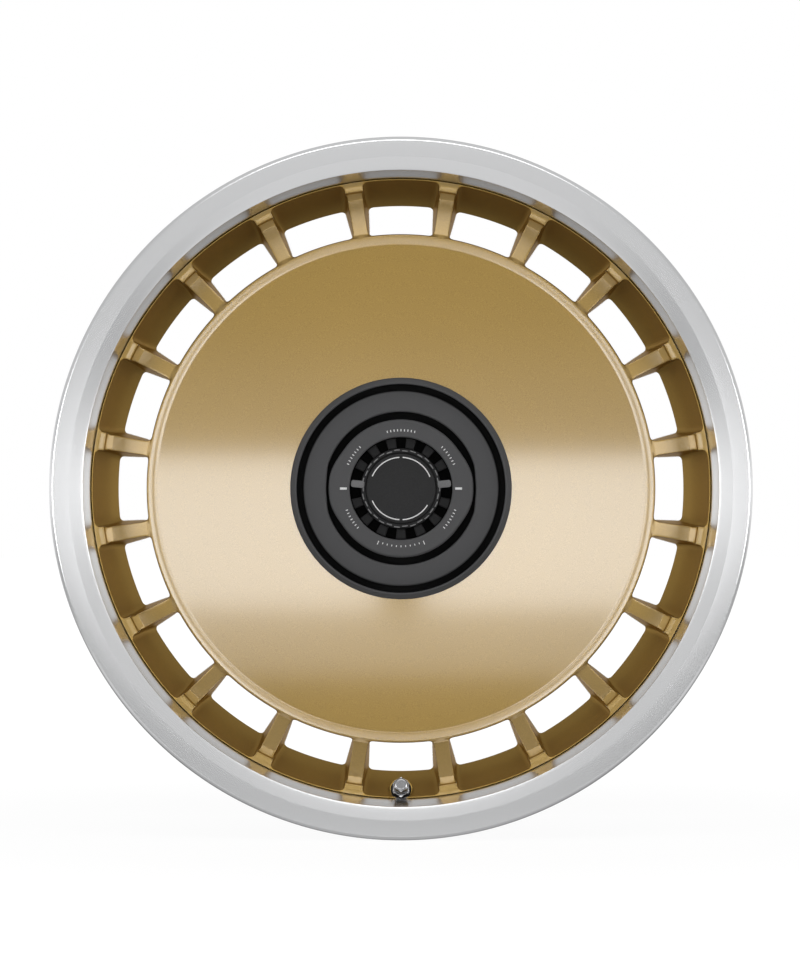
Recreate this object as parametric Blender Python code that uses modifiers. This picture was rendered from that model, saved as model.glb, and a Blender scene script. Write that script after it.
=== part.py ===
"""Forged two-piece racing wheel rim: gold spoked centre bolted into a bright rim shell.

Metres, +Z up. The wheel turns about Y, its street side faces -Y, and the origin lies on the
axis midway between the two flange faces. The sizes below are millimetres. Profiles are lists
of (radius, depth) with depth counted backwards from the street-side flange face.
"""
import math

import bmesh
import bpy
from mathutils import Matrix, Vector

MM = 0.001
FIT_GAP = 0.3

# Rim sizes: an 18 inch, 8 inch wide J rim.
BEAD_SEAT_DIAMETER = 436.6
FLANGE_HEIGHT = 17.5
RIM_WIDTH = 203.2
FLANGE_THICKNESS = 12.4
HUB_OFFSET = 35.0

# Spoke ring.
SPOKE_COUNT = 20
SPOKE_FRONT_WIDTH = 10.0
SPOKE_REAR_WIDTH = 14.0
RING_FRONT_WALL = 1.2
RING_REAR_WALL = 4.4
WINDOW_CORNER = 3.6
SPOKE_BAND = 38.1
RIB_WIDTH = 8.0
DISC_SKIN = 11.0

# Register between centre and shell, and the bolts that hold it.
REGISTER_DEPTH = 25.0
EAR_DEPTH = 65.0
EAR_THICKNESS = 8.0
BOLT_SHANK_RADIUS = 3.3
BOLT_HEAD_RADIUS = 4.9
BOLT_HEAD_HEIGHT = 6.0
BOLT_GRIP = 16.0

# Hub side.
HUB_BOLT_COUNT = 5
HUB_BOLT_CIRCLE = 112.0
HUB_BOLT_HOLE = 14.6
HUB_BOLT_SEAT = 25.0
HUB_BORE = 76.0
SPIGOT_BORE = 66.6
HUB_WALL = 17.0
POCKET_RADIUS = 72.0

# Centre cover.
COVER_FLANGE_OVERLAP = 2.5
LOCK_NUT_RADIUS = 46.5
LOCK_NUT_BORE = 34.5
LOCK_LUG_REACH = 1.9
CROWN_COLLAR_RADIUS = 27.0
CROWN_TOOTH_COUNT = 15
BADGE_RADIUS = 23.6

# Tyre valve.
VALVE_TILT = 14.0
VALVE_SHANK_RADIUS = 4.0
VALVE_NOSE_RADIUS = 3.6
VALVE_BOSS_RADIUS = 8.0
VALVE_GRIP = 18.0
VALVE_REACH = 17.0
VALVE_NUT_FLATS = 11.0
VALVE_CAP_FLATS = 9.0

# Sizes that follow from the ones above.
SEAT_RADIUS = BEAD_SEAT_DIAMETER / 2
RIM_RADIUS = SEAT_RADIUS + FLANGE_HEIGHT
OVERALL_WIDTH = RIM_WIDTH + 2 * FLANGE_THICKNESS
HALF_WIDTH = OVERALL_WIDTH / 2
MOUNT_DEPTH = HALF_WIDTH - HUB_OFFSET
POCKET_FLOOR = MOUNT_DEPTH - HUB_WALL
WELL_RADIUS = SEAT_RADIUS - 15.8
WELL_BORE = WELL_RADIUS - 5.0
REGISTER_RADIUS = SEAT_RADIUS - 8.8
REGISTER_SLOPE = (REGISTER_RADIUS - WELL_BORE) / (EAR_DEPTH - REGISTER_DEPTH)
BOLT_CIRCLE_RADIUS = WELL_BORE - 12.0
WINDOW_INNER_RADIUS = REGISTER_RADIUS - SPOKE_BAND
SPOKE_PITCH = 2 * math.pi / SPOKE_COUNT
SPOKE_ANGLES = [(index + 0.5) * SPOKE_PITCH for index in range(SPOKE_COUNT)]
WINDOW_ANGLES = [index * SPOKE_PITCH for index in range(SPOKE_COUNT)]
RIM_SEGMENTS = 2 * SPOKE_COUNT
COVER_SEGMENTS = 40
SMALL_SEGMENTS = 16
BOLT_SIDES = 8

# The wheel is drawn lying on its back with the street side up, then stood on its tread.
STAND_UP = Matrix.Rotation(math.radians(90), 4, "X")


def height_of(depth):
    """Height above the rim's middle plane while the wheel lies on its back."""
    return HALF_WIDTH - depth


def register_radius(depth):
    """Inside radius of the rim shell's conical register."""
    return REGISTER_RADIUS - REGISTER_SLOPE * (depth - REGISTER_DEPTH)


def polar(radius, angle, height):
    """A point in metres from a radius and height in millimetres."""
    return Vector((radius * math.cos(angle), radius * math.sin(angle), height)) * MM


VALVE_SEAT_DEPTH = 38.6
VALVE_SEAT_RADIUS = register_radius(VALVE_SEAT_DEPTH) - 1.5
VALVE_PLACE = (
    STAND_UP
    @ Matrix.Translation(Vector((0, -VALVE_SEAT_RADIUS, height_of(VALVE_SEAT_DEPTH))) * MM)
    @ Matrix.Rotation(math.radians(-VALVE_TILT), 4, "X")
)

for old in list(bpy.data.objects):
    bpy.data.objects.remove(old, do_unlink=True)

PARTS = bpy.data.collections.new("forged_racing_wheel_rim")
CUTTERS = bpy.data.collections.new("cutters")
bpy.context.scene.collection.children.link(PARTS)
bpy.context.scene.collection.children.link(CUTTERS)


def make_material(name, colour, roughness, metallic):
    material = bpy.data.materials.new(name)
    material.use_nodes = True
    shader = material.node_tree.nodes["Principled BSDF"]
    shader.inputs["Base Color"].default_value = (*colour, 1.0)
    shader.inputs["Roughness"].default_value = roughness
    shader.inputs["Metallic"].default_value = metallic
    material.diffuse_color = (*colour, 1.0)
    return material


def add_part(name, mesh, colour, roughness, metallic, place):
    part = bpy.data.objects.new(name, mesh)
    part.data.materials.append(make_material(name, colour, roughness, metallic))
    part.matrix_world = place
    PARTS.objects.link(part)
    return part


def add_cutter(name, mesh, place):
    cutter = bpy.data.objects.new(name, mesh)
    cutter.matrix_world = place
    cutter.hide_render = True
    cutter.display_type = "WIRE"
    CUTTERS.objects.link(cutter)
    return cutter


def profile_mesh(name, profile, closed):
    """Edges of a turning profile, its first point at the top inside."""
    mesh = bpy.data.meshes.new(name)
    points = [(radius * MM, 0.0, height * MM) for radius, height in profile]
    edges = [(index, index + 1) for index in range(len(points) - 1)]
    if closed:
        edges.append((len(points) - 1, 0))
    mesh.from_pydata(points, edges, [])
    return mesh


def turn(target, segments):
    screw = target.modifiers.new("turned", "SCREW")
    screw.axis = "Z"
    screw.angle = 2 * math.pi
    screw.steps = segments
    screw.render_steps = segments
    screw.use_merge_vertices = True
    screw.merge_threshold = 0.00002
    return target


def turned_part(name, profile, segments, finish, place=STAND_UP, closed=True):
    return turn(add_part(name, profile_mesh(name, profile, closed), *finish, place), segments)


def turned_cutter(name, profile, segments, place=STAND_UP):
    return turn(add_cutter(name, profile_mesh(name, profile, False), place), segments)


def by_depth(profile):
    """Change (radius, depth) pairs to (radius, height) pairs."""
    return [(radius, height_of(depth)) for radius, depth in profile]


def boolean(target, cutter, operation):
    step = target.modifiers.new(cutter.name, "BOOLEAN")
    step.operation = operation
    step.solver = "EXACT"
    step.object = cutter


def add_drafted_prism(shape, top, bottom):
    """Draw the top outline, extrude it and shape its far end to the bottom outline."""
    face = shape.faces.new([shape.verts.new(point) for point in top])
    grown = bmesh.ops.extrude_face_region(shape, geom=[face])["geom"]
    for corner in [item for item in grown if isinstance(item, bmesh.types.BMVert)]:
        nearest = min(range(len(top)), key=lambda index: (corner.co - top[index]).length)
        corner.co = bottom[nearest]


def mesh_from(shape, name):
    bmesh.ops.recalc_face_normals(shape, faces=shape.faces[:])
    mesh = bpy.data.meshes.new(name)
    shape.to_mesh(mesh)
    shape.free()
    return mesh


def add_rod(shape, radius, low, high, sides, place):
    """A rod along local Z between two heights in millimetres."""
    middle = Matrix.Translation((0, 0, (low + high) / 2 * MM))
    bmesh.ops.create_cone(
        shape,
        cap_ends=True,
        segments=sides,
        radius1=radius * MM,
        radius2=radius * MM,
        depth=(high - low) * MM,
        matrix=place @ middle,
    )


def rod_cutter(name, radius, low, high, sides, place):
    shape = bmesh.new()
    add_rod(shape, radius, low, high, sides, Matrix.Identity(4))
    return add_cutter(name, mesh_from(shape, name), place)


def add_block(shape, radial, width, low, high, angle):
    """A block from one radius to another, lying across the given angle."""
    inner, outer = radial
    size = Matrix.Diagonal(((outer - inner) * MM, width * MM, (high - low) * MM, 1))
    move = Matrix.Translation(Vector(((inner + outer) / 2, 0, (low + high) / 2)) * MM)
    bmesh.ops.create_cube(shape, size=1.0, matrix=Matrix.Rotation(angle, 4, "Z") @ move @ size)


def corner_curve(start, corner, end):
    """Three points round a corner from start to end."""
    steps = [0.0, 0.5, 1.0]
    return [(1 - t) ** 2 * start + 2 * t * (1 - t) * corner + t * t * end for t in steps]


def gap_outline(angle, height, inner, outer, wall_width, corner):
    """Rounded outline of the space between two neighbouring spokes or ribs."""
    along = Vector((math.cos(SPOKE_PITCH / 2), math.sin(SPOKE_PITCH / 2)))
    inward = Vector((along.y, -along.x)) * (wall_width / 2)
    near = math.sqrt(inner**2 - (wall_width / 2) ** 2)
    far = math.sqrt(outer**2 - (wall_width / 2) ** 2)
    near_corner = along * near + inward
    far_corner = along * far + inward
    near_angle = math.atan2(near_corner.y, near_corner.x) - corner / inner
    far_angle = math.atan2(far_corner.y, far_corner.x) - corner / outer
    near_start = Vector((math.cos(near_angle), math.sin(near_angle))) * inner
    far_end = Vector((math.cos(far_angle), math.sin(far_angle))) * outer
    half = corner_curve(near_start, near_corner, near_corner + along * corner)
    half += corner_curve(far_corner - along * corner, far_corner, far_end)
    mirrored = [Vector((point.x, -point.y)) for point in reversed(half)]
    outline = [Vector((inner, 0.0)), *half, Vector((outer, 0.0)), *mirrored]
    turned = Matrix.Rotation(angle, 4, "Z")
    return [turned @ (Vector((point.x, point.y, height)) * MM) for point in outline]


# Finishes: colour, roughness, metallic.
BRIGHT = ((0.80, 0.81, 0.83), 0.16, 1.0)
GOLD = ((0.56, 0.42, 0.19), 0.34, 1.0)
STEEL = ((0.42, 0.42, 0.43), 0.35, 1.0)
SILVER = ((0.66, 0.66, 0.67), 0.25, 1.0)
BLACK = ((0.028, 0.028, 0.030), 0.42, 0.0)
CHARCOAL = ((0.065, 0.065, 0.068), 0.45, 0.0)
PALE_GREY = ((0.22, 0.22, 0.225), 0.5, 0.0)
RUBBER = ((0.012, 0.012, 0.012), 0.8, 0.0)
BRASS = ((0.55, 0.42, 0.20), 0.35, 1.0)
ORANGE_PLASTIC = ((0.60, 0.24, 0.05), 0.5, 0.0)

# Rim shell: street flange, tyre side, rear flange, then back along the inside.
wide = OVERALL_WIDTH
flange_lip = [
    (REGISTER_RADIUS, REGISTER_DEPTH),
    (SEAT_RADIUS - 6.3, 12.0),
    (SEAT_RADIUS - 3.8, 7.6),
    (SEAT_RADIUS + 0.6, 3.4),
    (SEAT_RADIUS + 4.6, 1.1),
    (SEAT_RADIUS + 5.6, 0.0),
    (RIM_RADIUS - 3.6, 0.0),
    (RIM_RADIUS - 1.2, 1.1),
    (RIM_RADIUS, 3.8),
    (RIM_RADIUS, 7.8),
    (RIM_RADIUS - 3.4, FLANGE_THICKNESS),
    (SEAT_RADIUS + 5.6, FLANGE_THICKNESS),
    (SEAT_RADIUS + 1.2, 14.8),
    (SEAT_RADIUS, 19.0),
    (SEAT_RADIUS - 1.4, 35.0),
    (SEAT_RADIUS - 0.3, 39.0),
    (SEAT_RADIUS - 5.8, 49.5),
    (WELL_RADIUS, 71.0),
]
rear_side = [
    (WELL_RADIUS, wide - 92.0),
    (SEAT_RADIUS - 4.6, wide - 62.0),
    (SEAT_RADIUS - 0.3, wide - 39.0),
    (SEAT_RADIUS - 1.4, wide - 35.0),
    (SEAT_RADIUS, wide - 19.0),
    (SEAT_RADIUS + 5.6, wide - FLANGE_THICKNESS),
    (RIM_RADIUS - 3.4, wide - FLANGE_THICKNESS),
    (RIM_RADIUS, wide - 7.8),
    (RIM_RADIUS, wide - 3.4),
    (RIM_RADIUS - 3.4, wide),
    (SEAT_RADIUS + 4.2, wide),
    (SEAT_RADIUS - 5.0, wide - 14.0),
    (SEAT_RADIUS - 9.8, wide - 62.0),
    (WELL_BORE, wide - 90.0),
]
ear_flange = [
    (WELL_BORE, EAR_DEPTH + EAR_THICKNESS),
    (WELL_BORE - 20.5, EAR_DEPTH + EAR_THICKNESS),
    (WELL_BORE - 20.5, EAR_DEPTH),
    (WELL_BORE, EAR_DEPTH),
]
rim_shell = turned_part("rim_shell", by_depth(flange_lip + rear_side + ear_flange), RIM_SEGMENTS, BRIGHT)

# Wheel centre: hub pocket, disc, raised bead and the scooped band the spokes are cut from.
ring_gap = FIT_GAP * math.hypot(1, REGISTER_SLOPE)
ring_front = REGISTER_DEPTH + 0.8
ring_rear = EAR_DEPTH - FIT_GAP
bead = WINDOW_INNER_RADIUS
skirt_end = min(46.0, POCKET_FLOOR - 4.0)
groove_depth = skirt_end - 6.0
centre_front = [
    (HUB_BORE / 2 - 2.0, POCKET_FLOOR),
    (POCKET_RADIUS, POCKET_FLOOR),
    (POCKET_RADIUS, groove_depth + 3.0),
    (POCKET_RADIUS + 1.4, groove_depth + 3.0),
    (POCKET_RADIUS + 1.4, groove_depth),
    (POCKET_RADIUS, groove_depth),
    (POCKET_RADIUS, 18.4),
    (POCKET_RADIUS + 1.2, 17.2),
    (POCKET_RADIUS + 38.0, 18.2),
    (bead - 36.0, 19.2),
    (bead - 9.4, 20.4),
    (bead - 8.2, 21.2),
    (bead - 6.8, 19.4),
    (bead - 4.0, 18.5),
    (bead - 1.2, 19.5),
    (bead + 0.0, 22.6),
    (bead + 5.6, 25.4),
    (bead + 14.0, 29.0),
    (bead + 25.0, 34.4),
    (bead + 27.2, 36.2),
    (bead + 28.4, 35.2),
    (bead + 31.0, 30.6),
    (bead + 33.2, 27.0),
    (register_radius(ring_front) - ring_gap - 1.0, ring_front),
    (register_radius(ring_front + 0.8) - ring_gap, ring_front + 0.8),
]
centre_rear = [
    (register_radius(ring_rear) - ring_gap, ring_rear),
    (bead + 2.0, ring_rear),
    (POCKET_RADIUS + 16.0, MOUNT_DEPTH - 7.0),
    (POCKET_RADIUS + 12.0, MOUNT_DEPTH),
    (HUB_BORE / 2, MOUNT_DEPTH),
    (HUB_BORE / 2, MOUNT_DEPTH - 12.0),
    (HUB_BORE / 2 - 2.0, MOUNT_DEPTH - 12.0),
]
wheel_centre = turned_part("wheel_centre", by_depth(centre_front + centre_rear), RIM_SEGMENTS, GOLD)

# Twenty drafted windows leave the spokes in the centre and the ears in the shell. In the centre
# their outer wall is thin at the front and thick at the rear, so it meets the lip with no rim.
window_top = 10.0
window_bottom = EAR_DEPTH + EAR_THICKNESS + 6.0
width_change = (SPOKE_REAR_WIDTH - SPOKE_FRONT_WIDTH) / (ring_rear - ring_front)
wall_change = (RING_REAR_WALL - RING_FRONT_WALL) / (ring_rear - ring_front)
windows = bmesh.new()
ear_gaps = bmesh.new()
for angle in WINDOW_ANGLES:
    outlines = []
    ear_outlines = []
    for depth in (window_top, window_bottom):
        wall = RING_FRONT_WALL + wall_change * (depth - ring_front)
        outer = register_radius(depth) - ring_gap - wall
        width = SPOKE_FRONT_WIDTH + width_change * (depth - ring_front)
        height = height_of(depth)
        outlines.append(gap_outline(angle, height, bead, outer, width, WINDOW_CORNER))
        ear_outer = WELL_BORE - 2.5
        ear_outlines.append(gap_outline(angle, height, bead, ear_outer, width, WINDOW_CORNER))
    add_drafted_prism(windows, *outlines)
    add_drafted_prism(ear_gaps, *ear_outlines)
window_cutter = add_cutter("window_cutter", mesh_from(windows, "window_cutter"), STAND_UP)
boolean(wheel_centre, window_cutter, "DIFFERENCE")
ear_cutter = add_cutter("ear_cutter", mesh_from(ear_gaps, "ear_cutter"), STAND_UP)
boolean(rim_shell, ear_cutter, "DIFFERENCE")

# Lightening pockets behind the disc leave a rib in line with every spoke.
pockets = bmesh.new()
for angle in WINDOW_ANGLES:
    outlines = []
    for depth, extra in ((MOUNT_DEPTH + 5.0, -1.0), (18.6 + DISC_SKIN, 1.5)):
        inner = POCKET_RADIUS + 20.0
        outer = bead - 11.0
        height = height_of(depth)
        outlines.append(gap_outline(angle, height, inner, outer, RIB_WIDTH + extra, 6.0))
    add_drafted_prism(pockets, *outlines)
pocket_cutter = add_cutter("pocket_cutter", mesh_from(pockets, "pocket_cutter"), STAND_UP)
boolean(wheel_centre, pocket_cutter, "DIFFERENCE")

# Hub bolt holes with conical seats, one hole straight above the bore.
seat_depth = (HUB_BOLT_SEAT - HUB_BOLT_HOLE) / 2 / math.tan(math.radians(30))
hole_profile = by_depth([
    (0.0, POCKET_FLOOR - 5.0),
    (HUB_BOLT_SEAT / 2, POCKET_FLOOR - 5.0),
    (HUB_BOLT_SEAT / 2, POCKET_FLOOR),
    (HUB_BOLT_HOLE / 2, POCKET_FLOOR + seat_depth),
    (HUB_BOLT_HOLE / 2, MOUNT_DEPTH + 5.0),
    (0.0, MOUNT_DEPTH + 5.0),
])
for index in range(HUB_BOLT_COUNT):
    angle = math.pi / 2 + index * 2 * math.pi / HUB_BOLT_COUNT
    place = STAND_UP @ Matrix.Translation(polar(HUB_BOLT_CIRCLE / 2, angle, 0))
    hub_hole = turned_cutter(f"hub_hole_{index + 1}", hole_profile, 20, place)
    boolean(wheel_centre, hub_hole, "DIFFERENCE")

# Assembly bolts come in from behind through the ears and stop inside the spoke ends.
bolt_tip = EAR_DEPTH - BOLT_GRIP
bolt_seat = EAR_DEPTH + EAR_THICKNESS + FIT_GAP
bolt_holes = bmesh.new()
for angle in SPOKE_ANGLES:
    place = Matrix.Translation(polar(BOLT_CIRCLE_RADIUS, angle, 0))
    low = height_of(bolt_seat + 5.0)
    high = height_of(bolt_tip - 1.0)
    add_rod(bolt_holes, BOLT_SHANK_RADIUS + FIT_GAP, low, high, BOLT_SIDES, place)
bolt_hole_cutter = add_cutter("bolt_hole_cutter", mesh_from(bolt_holes, "bolt_hole_cutter"), STAND_UP)
boolean(wheel_centre, bolt_hole_cutter, "DIFFERENCE")
boolean(rim_shell, bolt_hole_cutter, "DIFFERENCE")

bolt_profile = [
    (0.0, BOLT_GRIP + EAR_THICKNESS + FIT_GAP),
    (BOLT_SHANK_RADIUS, BOLT_GRIP + EAR_THICKNESS - 0.7),
    (BOLT_SHANK_RADIUS, 0.0),
    (BOLT_HEAD_RADIUS, 0.0),
    (BOLT_HEAD_RADIUS, 0.7 - BOLT_HEAD_HEIGHT),
    (BOLT_HEAD_RADIUS - 0.7, -BOLT_HEAD_HEIGHT),
    (0.0, -BOLT_HEAD_HEIGHT),
]
for index, angle in enumerate(SPOKE_ANGLES):
    name = f"assembly_bolt_{index + 1:02d}"
    place = STAND_UP @ Matrix.Translation(polar(BOLT_CIRCLE_RADIUS, angle, height_of(bolt_seat)))
    bolt = turned_part(name, bolt_profile, BOLT_SIDES, STEEL, place, closed=False)
    socket = rod_cutter(f"bolt_socket_{index + 1:02d}", 2.9, -BOLT_HEAD_HEIGHT - 3, -3.0, 6, place)
    boolean(bolt, socket, "DIFFERENCE")

# Spigot ring in the bore.
spigot_outer = HUB_BORE / 2 - FIT_GAP
turned_part(
    "spigot_ring",
    by_depth([
        (SPIGOT_BORE / 2, MOUNT_DEPTH - 12.0 + FIT_GAP),
        (spigot_outer, MOUNT_DEPTH - 12.0 + FIT_GAP),
        (spigot_outer, MOUNT_DEPTH - 0.5),
        (SPIGOT_BORE / 2 + 1.2, MOUNT_DEPTH - 0.5),
        (SPIGOT_BORE / 2, MOUNT_DEPTH - 1.7),
    ]),
    COVER_SEGMENTS,
    ORANGE_PLASTIC,
)

# Cover dish: flange on the disc, two grooves, a flat ring between them and a plug skirt.
skirt = POCKET_RADIUS - FIT_GAP
flange_edge = POCKET_RADIUS + COVER_FLANGE_OVERLAP
lug_pass = LOCK_NUT_RADIUS + LOCK_LUG_REACH + 0.9
dish_floor = 26.0
dish_rear = 30.0
hub_radius = 30.0
cover_dish = turned_part(
    "cover_dish",
    by_depth([
        (hub_radius + FIT_GAP, dish_floor),
        (lug_pass + 2.2, dish_floor),
        (lug_pass + 2.2, 14.6),
        (lug_pass + 2.9, 14.0),
        (skirt - 6.7, 15.2),
        (skirt - 6.1, 15.8),
        (skirt - 6.1, 23.0),
        (skirt - 1.5, 23.0),
        (skirt - 1.5, 13.0),
        (skirt - 0.8, 12.5),
        (flange_edge, 15.6),
        (flange_edge, 17.2 - FIT_GAP),
        (skirt, 17.2 - FIT_GAP),
        (skirt, groove_depth),
        (skirt - 1.7, groove_depth),
        (skirt - 1.7, groove_depth + 3.0),
        (skirt, groove_depth + 3.0),
        (skirt, skirt_end),
        (skirt - 4.2, skirt_end),
        (skirt - 4.2, dish_rear),
        (hub_radius + FIT_GAP, dish_rear),
    ]),
    COVER_SEGMENTS,
    CHARCOAL,
)
dish_lugs = bmesh.new()
for angle in (0.0, math.pi):
    low = height_of(dish_floor + 1.0)
    add_block(dish_lugs, (lug_pass, lug_pass + 4.0), 11.0, low, height_of(14.6), angle)
dish_lug_block = add_cutter("dish_lug_block", mesh_from(dish_lugs, "dish_lug_block"), STAND_UP)
boolean(cover_dish, dish_lug_block, "UNION")

snap_inner = skirt - 1.7 + FIT_GAP
snap_outer = POCKET_RADIUS + 1.4 - FIT_GAP
turned_part(
    "cover_snap_ring",
    by_depth([
        (snap_inner, groove_depth + FIT_GAP),
        (snap_outer, groove_depth + FIT_GAP),
        (snap_outer, groove_depth + 3.0 - FIT_GAP),
        (snap_inner, groove_depth + 3.0 - FIT_GAP),
    ]),
    COVER_SEGMENTS,
    STEEL,
)

# Lock nut: a cup that turns in the dish floor, kept by a circlip behind it.
cup_floor = 24.0
clip_front = dish_rear + FIT_GAP
clip_rear = clip_front + 1.6
lock_nut = turned_part(
    "lock_nut",
    by_depth([
        (0.0, cup_floor),
        (LOCK_NUT_BORE, cup_floor),
        (LOCK_NUT_BORE, 13.0),
        (LOCK_NUT_BORE + 0.6, 12.4),
        (LOCK_NUT_RADIUS - 1.0, 12.4),
        (LOCK_NUT_RADIUS, 13.4),
        (LOCK_NUT_RADIUS, dish_floor - FIT_GAP),
        (hub_radius, dish_floor - FIT_GAP),
        (hub_radius, clip_front - FIT_GAP),
        (hub_radius - 1.5, clip_front - FIT_GAP),
        (hub_radius - 1.5, clip_rear + FIT_GAP),
        (hub_radius, clip_rear + FIT_GAP),
        (hub_radius, clip_rear + 2.0),
        (0.0, clip_rear + 2.0),
    ]),
    COVER_SEGMENTS,
    CHARCOAL,
    closed=False,
)
nut_lugs = bmesh.new()
for angle in (0.0, math.pi):
    low = height_of(dish_floor - FIT_GAP - 1.0)
    reach = LOCK_NUT_RADIUS + LOCK_LUG_REACH
    add_block(nut_lugs, (LOCK_NUT_RADIUS - 3.0, reach), 12.0, low, height_of(13.8), angle)
nut_lug_block = add_cutter("nut_lug_block", mesh_from(nut_lugs, "nut_lug_block"), STAND_UP)
boolean(lock_nut, nut_lug_block, "UNION")

clip_inner = hub_radius - 1.5 + FIT_GAP
turned_part(
    "nut_circlip",
    by_depth([
        (clip_inner, clip_front),
        (hub_radius + 4.0, clip_front),
        (hub_radius + 4.0, clip_rear),
        (clip_inner, clip_rear),
    ]),
    COVER_SEGMENTS,
    STEEL,
)

# Lock crown: channel, castellations and the collar round the badge.
crown_radius = LOCK_NUT_BORE - FIT_GAP
channel_floor = 20.0
badge_floor = 17.0
lock_crown = turned_part(
    "lock_crown",
    by_depth([
        (0.0, badge_floor),
        (BADGE_RADIUS + FIT_GAP, badge_floor),
        (BADGE_RADIUS + FIT_GAP, 14.0),
        (BADGE_RADIUS + FIT_GAP + 0.6, 13.4),
        (CROWN_COLLAR_RADIUS - 1.0, 13.4),
        (CROWN_COLLAR_RADIUS, 14.6),
        (CROWN_COLLAR_RADIUS, channel_floor),
        (crown_radius, channel_floor),
        (crown_radius, cup_floor - FIT_GAP),
        (0.0, cup_floor - FIT_GAP),
    ]),
    COVER_SEGMENTS,
    BLACK,
    closed=False,
)
tooth_pitch = 2 * math.pi / CROWN_TOOTH_COUNT
tooth_angles = [-math.pi / 2 + index * tooth_pitch for index in range(CROWN_TOOTH_COUNT)]
tab_places = {4: "lock_tab_right", CROWN_TOOTH_COUNT - 4: "lock_tab_left"}
teeth = bmesh.new()
for index, angle in enumerate(tooth_angles):
    radial = (CROWN_COLLAR_RADIUS - 1.0, crown_radius - 0.4)
    if index not in tab_places:
        add_block(teeth, radial, 5.6, height_of(channel_floor + 1.0), height_of(16.4), angle)
tooth_block = add_cutter("tooth_block", mesh_from(teeth, "tooth_block"), STAND_UP)
boolean(lock_crown, tooth_block, "UNION")
for index, name in tab_places.items():
    tab = bmesh.new()
    radial = (CROWN_COLLAR_RADIUS + 0.4, crown_radius - 0.4)
    low = height_of(channel_floor - FIT_GAP)
    add_block(tab, radial, 4.6, low, height_of(14.6), tooth_angles[index])
    tab_part = add_part(name, mesh_from(tab, name), *PALE_GREY, STAND_UP)
    rounding = tab_part.modifiers.new("rounding", "BEVEL")
    rounding.width = 0.9 * MM
    rounding.segments = 2

turned_part(
    "badge_disc",
    by_depth([
        (0.0, 13.0),
        (BADGE_RADIUS * 0.6, 13.2),
        (BADGE_RADIUS - 0.8, 13.6),
        (BADGE_RADIUS, 14.2),
        (BADGE_RADIUS, badge_floor - FIT_GAP),
        (0.0, badge_floor - FIT_GAP),
    ]),
    COVER_SEGMENTS,
    CHARCOAL,
    closed=False,
)

# Valve: boss and hole in the shell, scallop in the centre's ring.
boss = rod_cutter("valve_boss", VALVE_BOSS_RADIUS, -VALVE_GRIP - 6.0, 0.0, 24, VALVE_PLACE)
boolean(rim_shell, boss, "UNION")
head_radius = VALVE_BOSS_RADIUS - 1.5
hole_radius = VALVE_SHANK_RADIUS + FIT_GAP
grommet_radius = VALVE_BOSS_RADIUS - 1.0
spots = bmesh.new()
add_rod(spots, head_radius + FIT_GAP, -60.0, -VALVE_GRIP, 24, Matrix.Identity(4))
add_rod(spots, grommet_radius + 2 * FIT_GAP, 0.0, 30.0, 24, Matrix.Identity(4))
boolean(rim_shell, add_cutter("valve_spots", mesh_from(spots, "valve_spots"), VALVE_PLACE), "DIFFERENCE")
valve_hole = rod_cutter("valve_hole", hole_radius, -60.0, 10.0, SMALL_SEGMENTS, VALVE_PLACE)
boolean(rim_shell, valve_hole, "DIFFERENCE")
scallop = rod_cutter("valve_scallop", VALVE_BOSS_RADIUS + FIT_GAP, -60.0, 60.0, 24, VALVE_PLACE)
boolean(wheel_centre, scallop, "DIFFERENCE")

nose_start = 8.0
head_front = -VALVE_GRIP - 2.3
core_bore = 2.3
core_shelf = -2.0
turned_part(
    "valve_stem",
    [
        (core_bore, VALVE_REACH),
        (VALVE_NOSE_RADIUS - 0.4, VALVE_REACH),
        (VALVE_NOSE_RADIUS, VALVE_REACH - 0.5),
        (VALVE_NOSE_RADIUS, nose_start),
        (VALVE_SHANK_RADIUS, nose_start),
        (VALVE_SHANK_RADIUS, head_front),
        (head_radius, head_front),
        (head_radius, head_front - 2.6),
        (1.5, head_front - 2.6),
        (1.5, core_shelf),
        (core_bore, core_shelf),
    ],
    SMALL_SEGMENTS,
    SILVER,
    VALVE_PLACE,
)


def washer(name, radius, low, high, finish):
    ring = [(hole_radius, high), (radius, high), (radius, low), (hole_radius, low)]
    return turned_part(name, ring, 24, finish, VALVE_PLACE)


washer("valve_seal", head_radius, -VALVE_GRIP - 2.0, -VALVE_GRIP - FIT_GAP, RUBBER)
grommet_top = 2.3
washer("valve_grommet", grommet_radius, FIT_GAP, grommet_top, RUBBER)


def hex_part(name, flats, low, high, finish):
    shape = bmesh.new()
    add_rod(shape, flats / math.sqrt(3), low, high, 6, Matrix.Rotation(math.radians(30), 4, "Z"))
    return add_part(name, mesh_from(shape, name), *finish, VALVE_PLACE)


nut_low = grommet_top + FIT_GAP
nut_high = nut_low + 4.5
valve_nut = hex_part("valve_nut", VALVE_NUT_FLATS, nut_low, nut_high, SILVER)
nut_bore = rod_cutter("valve_nut_bore", hole_radius, -5.0, 15.0, SMALL_SEGMENTS, VALVE_PLACE)
boolean(valve_nut, nut_bore, "DIFFERENCE")

core_radius = core_bore - FIT_GAP
pin_radius = 0.75
core_low = core_shelf + FIT_GAP
core_high = VALVE_REACH - 0.8
turned_part(
    "valve_core",
    [
        (pin_radius + FIT_GAP, core_high),
        (core_radius, core_high),
        (core_radius, core_low),
        (pin_radius + FIT_GAP, core_low),
    ],
    SMALL_SEGMENTS,
    BRASS,
    VALVE_PLACE,
)
turned_part(
    "valve_pin",
    [
        (0.0, VALVE_REACH - 0.3),
        (pin_radius, VALVE_REACH - 0.3),
        (pin_radius, core_low + 1.0),
        (0.0, core_low + 1.0),
    ],
    12,
    BRASS,
    VALVE_PLACE,
    closed=False,
)

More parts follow.
